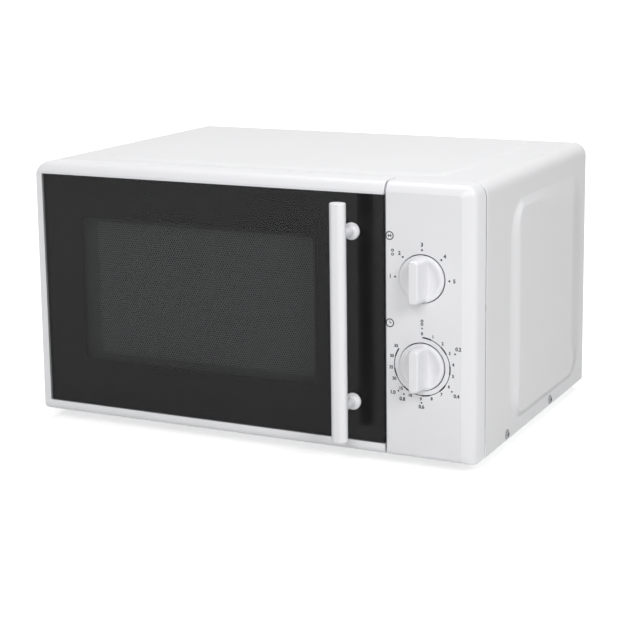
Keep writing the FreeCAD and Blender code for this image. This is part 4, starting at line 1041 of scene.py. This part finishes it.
class OVEN_OT_screws(OvenOperator):
    """Drive the cross-head screws into the cabinet's sides."""

    bl_idname = "oven.screws"
    bl_label = "Screws"

    def execute(self, context):
        low, high = SCREWS
        head = 4.5 * MM
        y_first, y_last = low.y + 4 * MM, high.y - 4 * MM
        z = middle(SCREWS).z
        rise = 1.45 * MM
        bm = bmesh.new()
        wall = high.x - 1.5 * MM
        profile = [(0, -4 * MM), (1.9 * MM, -4 * MM), (1.9 * MM, 0), (head, 0)]
        profile += [(head * math.cos(a), rise * (0.35 + 0.65 * math.sin(a)))
                    for a in (0.0, 0.35, 0.7, 1.05, 1.35)]
        profile += [(0.2 * MM, rise)]
        lathe(bm, profile, (wall, y_first, z), "X", 28)
        outward(bm)
        head_mesh = to_mesh(bm, "screw")
        # The dark cross on each side screw is painted shade for its recess
        bm = bmesh.new()
        for across, tall in ((2.6, 0.6), (0.6, 2.6)):
            soft_box(bm, (wall + rise * 0.7, y_first - across * MM, z - tall * MM),
                     (wall + rise + 0.02 * MM, y_first + across * MM, z + tall * MM))
        cross_shade_mesh = to_mesh(bm, "cross")
        for part, mesh, finish in (("screws", head_mesh, "screw_steel"),
                                   ("cross_shades", cross_shade_mesh, "screw_cross_shade")):
            for side, sign in (("right", 1), ("left", -1)):
                copy = mesh.copy()
                step = (0, (y_last - y_first) * sign, 0)
                if sign < 0:
                    copy.transform(Matrix.Rotation(math.pi, 4, "Z"))
                    copy.transform(Matrix.Translation((0, y_first + y_last, 0)))
                stands_for = ["cabinet_screws"] if (part, side) == ("screws", "right") else []
                set_out("grid", copy, f"{side}_{part}", "screw_steel", finish, *stands_for,
                        Columns=2, Rows=1, Column_step=step, Row_step=(0, 0, 0))
        return {"FINISHED"}


class OVEN_OT_door_glass(OvenOperator):
    """Set the flat glass into the door, in front of its black print."""

    bl_idname = "oven.door_glass"
    bl_label = "Door glass"

    def execute(self, context):
        bm = bmesh.new()
        soft_box(bm, *GLASS, 0.7 * MM)
        mould(bm, "door_glass_pane", "door", "door_glass", "door_glass")
        return {"FINISHED"}


class OVEN_OT_screen(OvenOperator):
    """Perforate the door screen with its rows of small holes."""

    bl_idname = "oven.screen"
    bl_label = "Door screen"

    def execute(self, context):
        s = self.sizes
        low, high = SCREEN
        pitch, radius = s.screen_pitch, s.screen_hole / 2
        rim = 4 * MM
        columns = int((high.x - low.x - 2 * rim) / pitch)
        rows = int((high.z - low.z - 2 * rim) / (pitch * math.sqrt(3)))
        step_x, step_z = (high.x - low.x - 2 * rim) / columns, (high.z - low.z - 2 * rim) / rows
        y = low.y + 0.1 * MM
        corner = Vector((low.x + rim, y, low.z + rim))
        bm = bmesh.new()
        a, b = step_x / 2, step_z / 2
        centre = corner + Vector((a, 0, b))
        nick = radius * math.sqrt(0.5)
        for sx, sz in ((1, 1), (-1, 1), (-1, -1), (1, -1)):
            inner = [Vector((radius, 0, 0)), Vector((nick, 0, nick)), Vector((0, 0, radius))]
            outer = [Vector((a, 0, b - radius)), Vector((a - nick, 0, b - nick)),
                     Vector((a - radius, 0, b))]
            quarter = [[Vector((v.x * sx, 0, v.z * sz)) + centre for v in line]
                       for line in (inner, outer)]
            one, two = ([bm.verts.new(v) for v in line] for line in quarter)
            side = bm.verts.new(Vector((a * sx, 0, 0)) + centre)
            head = bm.verts.new(Vector((0, 0, b * sz)) + centre)
            bm.faces.new((one[0], side, two[0], two[1], one[1]))
            bm.faces.new((one[1], two[1], two[2], head, one[2]))
        bmesh.ops.remove_doubles(bm, verts=bm.verts, dist=0.01 * MM)
        face_front(bm)
        cell = bare_mesh(bm, "screen_cell")
        field = TREES["grid"].run(cell, "screen_field", Columns=columns, Rows=rows,
                                  Column_step=(step_x, 0, 0), Row_step=(0, 0, step_z),
                                  Material=paint("screen_paint"))
        bm = bmesh.new()
        bm.from_mesh(field)
        edge = [[(x, y, z) for x, z in ((a.x, a.z), (b.x, a.z), (b.x, b.z), (a.x, b.z))]
                for a, b in ((corner, Vector((high.x - rim, 0, high.z - rim))), (low, high))]
        inner_loop, outer_loop = edge
        loft(bm, [outer_loop, inner_loop], caps=(False, False))
        face_front(bm)
        piece("perforated_screen", bare_mesh(bm, "perforated_screen"), "door", "screen_paint",
              "door_screen")
        return {"FINISHED"}


class OVEN_OT_handle(OvenOperator):
    """Fit the upright handle bar and its two collared posts."""

    bl_idname = "oven.handle"
    bl_label = "Handle"

    def execute(self, context):
        low, high = BAR
        bm = bmesh.new()
        chamfer = 1.2 * MM
        radius = 5.6 * MM
        loops = []
        for inset, z in ((chamfer, low.z), (chamfer * 0.3, low.z + chamfer * 0.3),
                         (0, low.z + chamfer), (0, high.z - chamfer),
                         (chamfer * 0.3, high.z - chamfer * 0.3), (chamfer, high.z)):
            outline = round_rectangle((low.x + inset, high.x - inset),
                                      (low.y + inset, high.y - inset), radius - inset, 7)
            loops.append([Vector((x, y, z)) for x, y in outline])
        loft(bm, loops)
        mould(bm, "handle_grip", "door", "white_plastic", "handle_bar", angle=30,
              finish="handle_plastic")
        bm = bmesh.new()
        front = GLASS[0].y
        x = middle(POSTS).x
        for z in (POSTS[0].z + 7.5 * MM, POSTS[1].z - 7.5 * MM):
            profile = stepped(0, high.y, (0, -2), (4.1, -2))
            profile += stepped(0, front, (4.1, -4.4), (4.3, -3.9), (5.2, -3.6), (5.5, -3.2),
                               (5.5, -2.4), (7.1, -2.2), (7.5, -1.7), (7.5, 0), (0, 0))
            lathe(bm, profile, (x, 0, z), "Y", 40)
        mould(bm, "handle_pillars", "door", "white_plastic", "handle_posts", angle=40,
              finish="handle_plastic")
        return {"FINISHED"}


class OVEN_OT_knobs(OvenOperator):
    """Push the two knobs on: a dished round skirt with a tapered bar grip."""

    bl_idname = "oven.knobs"
    bl_label = "Knobs"

    def execute(self, context):
        for name, box, body in (("power", POWER, "power_dial"), ("timer", TIMER, "timer_dial")):
            centre = middle(box)
            radius = (box[1].x - box[0].x) / 2
            front = box[0].y
            skirt = GLASS[0].y - 3.2 * MM
            back = GLASS[0].y + 0.8 * MM
            rim, dish = radius - 3.4 * MM, 3.0 * MM
            bm = bmesh.new()
            profile = [(0, back)] + stepped(radius, back, (-0.6, 0), (0, -0.6))
            profile += stepped(radius, skirt, (0, 1.4), (-0.3, 0.55), (-0.9, 0.15), (-1.7, 0))
            profile += stepped(rim, skirt, (0.5, 0), (0, 0.12))
            profile += [(rim * share, skirt + dish * (1 - share ** 2.8))
                        for share in (0.975, 0.92, 0.84, 0.74, 0.62, 0.48, 0.32)]
            profile += [(0, skirt + dish)]
            lathe(bm, profile, (centre.x, 0, centre.z), "Y", 96)
            outward(bm)
            self.grip(bm, centre, radius - 1.2 * MM, front, skirt + dish)
            piece(f"{name}_grip", to_mesh(bm, f"{name}_grip", 35), body, "knob_plastic",
                  f"{name}_knob")
        return {"FINISHED"}

    def grip(self, bm, centre, reach, front, root):
        """The bar: broad at the root, drawn in towards a rounded crest."""
        depth = root - front
        loops = []
        for along, half_width, share in (
                (0.0, 6.1, 1.0), (0.08, 5.75, 1.0), (0.3, 5.35, 0.995), (0.6, 4.95, 0.985),
                (0.85, 4.65, 0.972), (0.93, 4.45, 0.962), (0.975, 4.05, 0.945), (1.0, 3.3, 0.915)):
            width, length = half_width * MM, reach * share
            outline = round_rectangle((-width, width), (-length, length),
                                      min(width * 0.8, 3.6 * MM), 7)
            loops.append([Vector((centre.x + u, root - depth * along, centre.z + v))
                          for u, v in outline])
        before = len(bm.faces)
        loft(bm, loops)
        bm.faces.ensure_lookup_table()
        bmesh.ops.recalc_face_normals(bm, faces=bm.faces[before:])


def flat_text(bm, words, height, where):
    """Add a line of digits that stands on the panel's face, its middle at a place."""
    curve = bpy.data.curves.new("digits", "FONT")
    curve.body = words
    cap_share, boldness = 0.72, 0.055
    curve.size = height / cap_share
    curve.align_x = "CENTER"
    curve.align_y = "CENTER"
    curve.resolution_u = 3
    curve.offset = height * boldness
    holder = new_object("digits", curve)
    bpy.context.view_layer.update()
    mesh = bpy.data.meshes.new_from_object(
        holder.evaluated_get(bpy.context.evaluated_depsgraph_get()))
    bpy.data.objects.remove(holder)
    bpy.data.curves.remove(curve)
    mesh.transform(Matrix.Translation(where) @ Matrix.Rotation(math.pi / 2, 4, "X"))
    bm.from_mesh(mesh)
    bpy.data.meshes.remove(mesh)


def flat_ring(bm, centre, inner, outer, start, sweep, y, steps):
    """A flat arc band on the panel's face; angles run clockwise from the top, in degrees."""
    full = abs(sweep) >= 359.9
    count = max(3, int(steps * abs(sweep) / 360))
    rows = []
    for step in range(count + (0 if full else 1)):
        turn = math.radians(start + sweep * step / count)
        across, up = math.sin(turn), math.cos(turn)
        rows.append([bm.verts.new((centre.x + r * across, y, centre.z + r * up))
                     for r in (inner, outer)])
    pairs = list(zip(rows, rows[1:])) + ([(rows[-1], rows[0])] if full else [])
    for (a, b), (c, d) in pairs:
        bm.faces.new((a, b, d, c))


def flat_bar(bm, x, z, across, tall, y):
    loop = [bm.verts.new((x + u * across / 2, y, z + v * tall / 2))
            for u, v in ((-1, -1), (1, -1), (1, 1), (-1, 1))]
    bm.faces.new(loop)


def around(centre, radius, angle):
    """A point on a dial; the angle runs clockwise from the top, in degrees."""
    turn = math.radians(angle)
    return centre.x + radius * math.sin(turn), centre.z + radius * math.cos(turn)


class OVEN_OT_dial_print(OvenOperator):
    """Print the dials: rings, dots, scale arcs, plain numbers and simple signs."""

    bl_idname = "oven.dial_print"
    bl_label = "Dial print"

    def execute(self, context):
        s = self.sizes
        face = PANEL[0].y
        y = face - s.print_relief
        power, timer = middle(POWER), middle(TIMER)
        bm = bmesh.new()
        self.power_signs(bm, power, y)
        self.timer_signs(bm, timer, y)
        digits = [str(n) for n in range(11)] + ["15", "20", "25", "30", "35"]
        for index, word in enumerate(digits):
            x, z = around(timer, 28.6 * MM, TIMER_STEP * index)
            flat_text(bm, word, s.digit_height, (x, y, z))
        for word, mark, spot in (
                ("0.2", (32.9, 65), (37.4, 61)), ("0.4", (33, 125), (38.6, 126)),
                ("0.6", (31.8, 181), (35.4, 181)), ("0.8", (30.8, 213), (35.4, 211)),
                ("1.0", (32, 223), (37, 227))):
            x, z = around(timer, mark[0] * MM, mark[1])
            bm.faces.new([bm.verts.new(point) for point in circle(x, z, 0.8 * MM, y, 16)])
            x, z = around(timer, spot[0] * MM, spot[1])
            flat_text(bm, word, s.digit_height * 1.15, (x, y, z))
        for index, word in enumerate("12345"):
            x, z = around(power, 29 * MM, POWER_START + POWER_STEP * index)
            flat_text(bm, word, s.digit_height * 1.2, (x, y, z))
        face_front(bm)
        solid = bmesh.ops.extrude_face_region(bm, geom=list(bm.faces))
        for item in solid["geom"]:
            if isinstance(item, bmesh.types.BMVert):
                item.co.y = face + 0.02 * MM
        outward(bm)
        piece("dial_print", bare_mesh(bm, "dial_print"), "oven", "white_plastic", finish="ink")
        # The knob gaps get a dark lining in the ink finish: painted shade
        self.wells(face, power, timer)
        dot = bmesh.new()
        lathe(dot, [(0, 0.02 * MM), (0.9 * MM, 0.02 * MM), (0.9 * MM, -s.print_relief),
                    (0, -s.print_relief)], (0, 0, 24.6 * MM), "Y", 16)
        outward(dot)
        set_out("dial", bare_mesh(dot, "power_dot"), "power_dots", "white_plastic", "ink",
                Count=POWER_MARKS, Start=math.radians(POWER_START), Step=math.radians(POWER_STEP),
                Centre=(power.x, face, power.z))
        return {"FINISHED"}

    def wells(self, face, *dials):
        """The dark line at the bottom of the gap round each knob: painted shade, in the ink finish.
        """
        bm = bmesh.new()
        for dial in dials:
            profile = stepped(0, face, (19.9, 1.36), (20.75, 1.36), (20.93, 1.2), (20.93, 0.75),
                              (20.99, 0.75), (20.99, 1.3), (20.8, 1.39), (19.9, 1.39),
                              (19.9, 1.36))
            loft(bm, [circle(dial.x, dial.z, radius, y, 96) for radius, y in profile],
                 caps=(False, False))
        bmesh.ops.remove_doubles(bm, verts=bm.verts, dist=0.002 * MM)
        mould(bm, "knob_well_shade", "oven", "white_plastic", finish="ink")

    def power_signs(self, bm, centre, y):
        """A sign in a ring at the top left of the dial, and two small rings beside it."""
        sign = Vector((centre.x - 29.5 * MM, 0, centre.z + 35 * MM))
        flat_ring(bm, sign, 2.9 * MM, 3.8 * MM, 0, 360, y, 40)
        for across, tall, dx, dz in ((3.8, 0.7, 0, 0), (0.7, 2.6, -0.9, 0), (0.7, 2.6, 0.9, 0)):
            flat_bar(bm, sign.x + dx * MM, sign.z + dz * MM, across * MM, tall * MM, y)
        melt = around(centre, 34 * MM, -52)
        for row in range(2):
            flat_ring(bm, Vector((melt[0], 0, melt[1] + (1.7 - 3.4 * row) * MM)), 0.6 * MM,
                      1.3 * MM, 0, 360, y, 20)

    def timer_signs(self, bm, centre, y):
        """The scale's arc and bands, a clock at the top left and a mark over the zero."""
        flat_ring(bm, centre, 25.0 * MM, 25.7 * MM, 0, TIMER_SWEEP, y, 96)
        for index in range(0, TIMER_MARKS, 2):
            flat_ring(bm, centre, 24.75 * MM, 26.0 * MM, TIMER_STEP * index + 2, TIMER_STEP - 3,
                      y, 96)
        sign = Vector((centre.x - 29.5 * MM, 0, centre.z + 35.5 * MM))
        flat_ring(bm, sign, 2.95 * MM, 3.85 * MM, 0, 360, y, 40)
        flat_bar(bm, sign.x, sign.z + 0.9 * MM, 0.6 * MM, 2.2 * MM, y)
        flat_bar(bm, sign.x + 0.7 * MM, sign.z, 1.8 * MM, 0.6 * MM, y)
        x, z = around(centre, 33.5 * MM, 0)
        bm.faces.new([bm.verts.new((x + u * MM, y, z + v * MM))
                      for u, v in ((-1, -0.8), (1, -0.8), (0, 1))])
        for row in range(2):
            spot = Vector((x, 0, z + (3.4 + 2.8 * row) * MM))
            flat_ring(bm, spot, 0.6 * MM, 1.3 * MM, 0, 360, y, 20)


class OVEN_OT_stage(OvenOperator):
    """Lay the pale floor, hang the soft lamps and stand the camera."""

    bl_idname = "oven.stage"
    bl_label = "Stage"

    def execute(self, context):
        scene = context.scene
        s = scene.oven_stage
        self.world(s.world_light)
        self.floor(s.floor)
        self.lamp("key", (0.6, -2.45, 1.5), (0, 0, 0.12), 1.0, s.key_light)
        self.lamp("side_fill", (1.75, -1.35, 1.3), (0.2, 0, 0.12), 0.9, s.key_light * 0.95)
        self.lamp("top_light", (0.0, 0.1, 2.6), (0, 0, 0.1), 2.0, s.key_light * 1.95)
        self.camera(scene)
        scene.view_settings.view_transform = "Standard"
        return {"FINISHED"}

    def world(self, strength):
        """A faint light all round, in front of a white background."""
        world = bpy.data.worlds.new("studio")
        bpy.context.scene.world = world
        nodes = Nodes(world)
        dim, white = (nodes.add("ShaderNodeBackground", None, (1, 1, 1), level)
                      for level in (strength, 1.0))
        nodes.finish("ShaderNodeOutputWorld",
                     nodes.add("ShaderNodeMixShader", None, nodes.seen(), dim, white))

    def floor(self, colour):
        """A wide matt floor that glows more and more with distance, where it is seen."""
        bm = bmesh.new()
        bmesh.ops.create_grid(bm, x_segments=1, y_segments=1, size=12)
        mesh = bare_mesh(bm, "floor")
        ground = new_object("floor", mesh)
        shader = Shader("studio_floor", roughness=0.9, specular_ior_level=0.0,
                        emission_strength=1.0)
        shader.set("Base Color", tuple(colour))
        away = shader.add("ShaderNodeVectorMath", {"operation": "LENGTH"}, shader.place(),
                          out="Value")
        near, start, reach, gain = 0.58, 0.3, 1.2, 0.5
        glow = shader.seen() * (near + ((away - start) / reach).most(0.0) * gain)
        shader.set("Emission Color", shader.mix(glow, (0, 0, 0), (1, 1, 1)))
        mesh.materials.append(shader.material)

    def lamp(self, name, place, target, size, power):
        data = bpy.data.lights.new(name, "AREA")
        data.shape = "SQUARE"
        data.size = size
        data.energy = power
        lamp = new_object(name, data)
        lamp.location = place
        beam = Vector(target) - Vector(place)
        lamp.rotation_euler = beam.to_track_quat("-Z", "Y").to_euler()

    def camera(self, scene):
        """A long lens in front of the right corner, a little above the oven."""
        data = bpy.data.cameras.new("camera")
        data.lens = 92.3
        data.sensor_width = 36
        data.shift_y = -0.12
        eye = new_object("camera", data)
        place = (0.6858, -1.3822, 0.4532)
        yaw, pitch, roll = 0.4549, 0.1863, -0.0125
        ahead = Vector((-math.sin(yaw) * math.cos(pitch), math.cos(yaw) * math.cos(pitch),
                        -math.sin(pitch)))
        right = Vector((math.cos(yaw), math.sin(yaw), 0))
        up = right.cross(ahead)
        tilted = right * math.cos(roll) + up * math.sin(roll)
        upright = up * math.cos(roll) - right * math.sin(roll)
        eye.matrix_world = Matrix.Translation(place) @ Matrix(
            (tilted, upright, -ahead)).transposed().to_4x4()
        scene.camera = eye


class OVEN_PT_panel(bpy.types.Panel):
    """The oven's settings and steps."""

    bl_idname = "OVEN_PT_panel"
    bl_label = "Microwave Oven"
    bl_space_type = "VIEW_3D"
    bl_region_type = "UI"
    bl_category = "Oven"

    def draw(self, context):
        for group in (context.scene.oven_sizes, context.scene.oven_colours,
                      context.scene.oven_stage):
            for name in group.__annotations__:
                self.layout.prop(group, name)
        for step in STEPS:
            self.layout.operator(step.bl_idname)


GROUPS = {"oven_sizes": OvenSizes, "oven_colours": OvenColours, "oven_stage": OvenStage}
STEPS = (OVEN_OT_materials, OVEN_OT_cover, OVEN_OT_fascia, OVEN_OT_mouth, OVEN_OT_screws,
         OVEN_OT_louvres, OVEN_OT_door_surround, OVEN_OT_turntable, OVEN_OT_door_glass,
         OVEN_OT_screen, OVEN_OT_handle, OVEN_OT_knobs, OVEN_OT_dial_print, OVEN_OT_stage)


def register():
    for kind in (*GROUPS.values(), *STEPS, OVEN_PT_panel):
        bpy.utils.register_class(kind)
    for name, group in GROUPS.items():
        setattr(bpy.types.Scene, name, PointerProperty(type=group))


def unregister():
    for name in GROUPS:
        delattr(bpy.types.Scene, name)
    for kind in reversed((*GROUPS.values(), *STEPS, OVEN_PT_panel)):
        bpy.utils.unregister_class(kind)


def main():
    register()
    for step in STEPS:
        area, name = step.bl_idname.split(".")
        getattr(getattr(bpy.ops, area), name)()


if __name__ == "__main__":
    main()
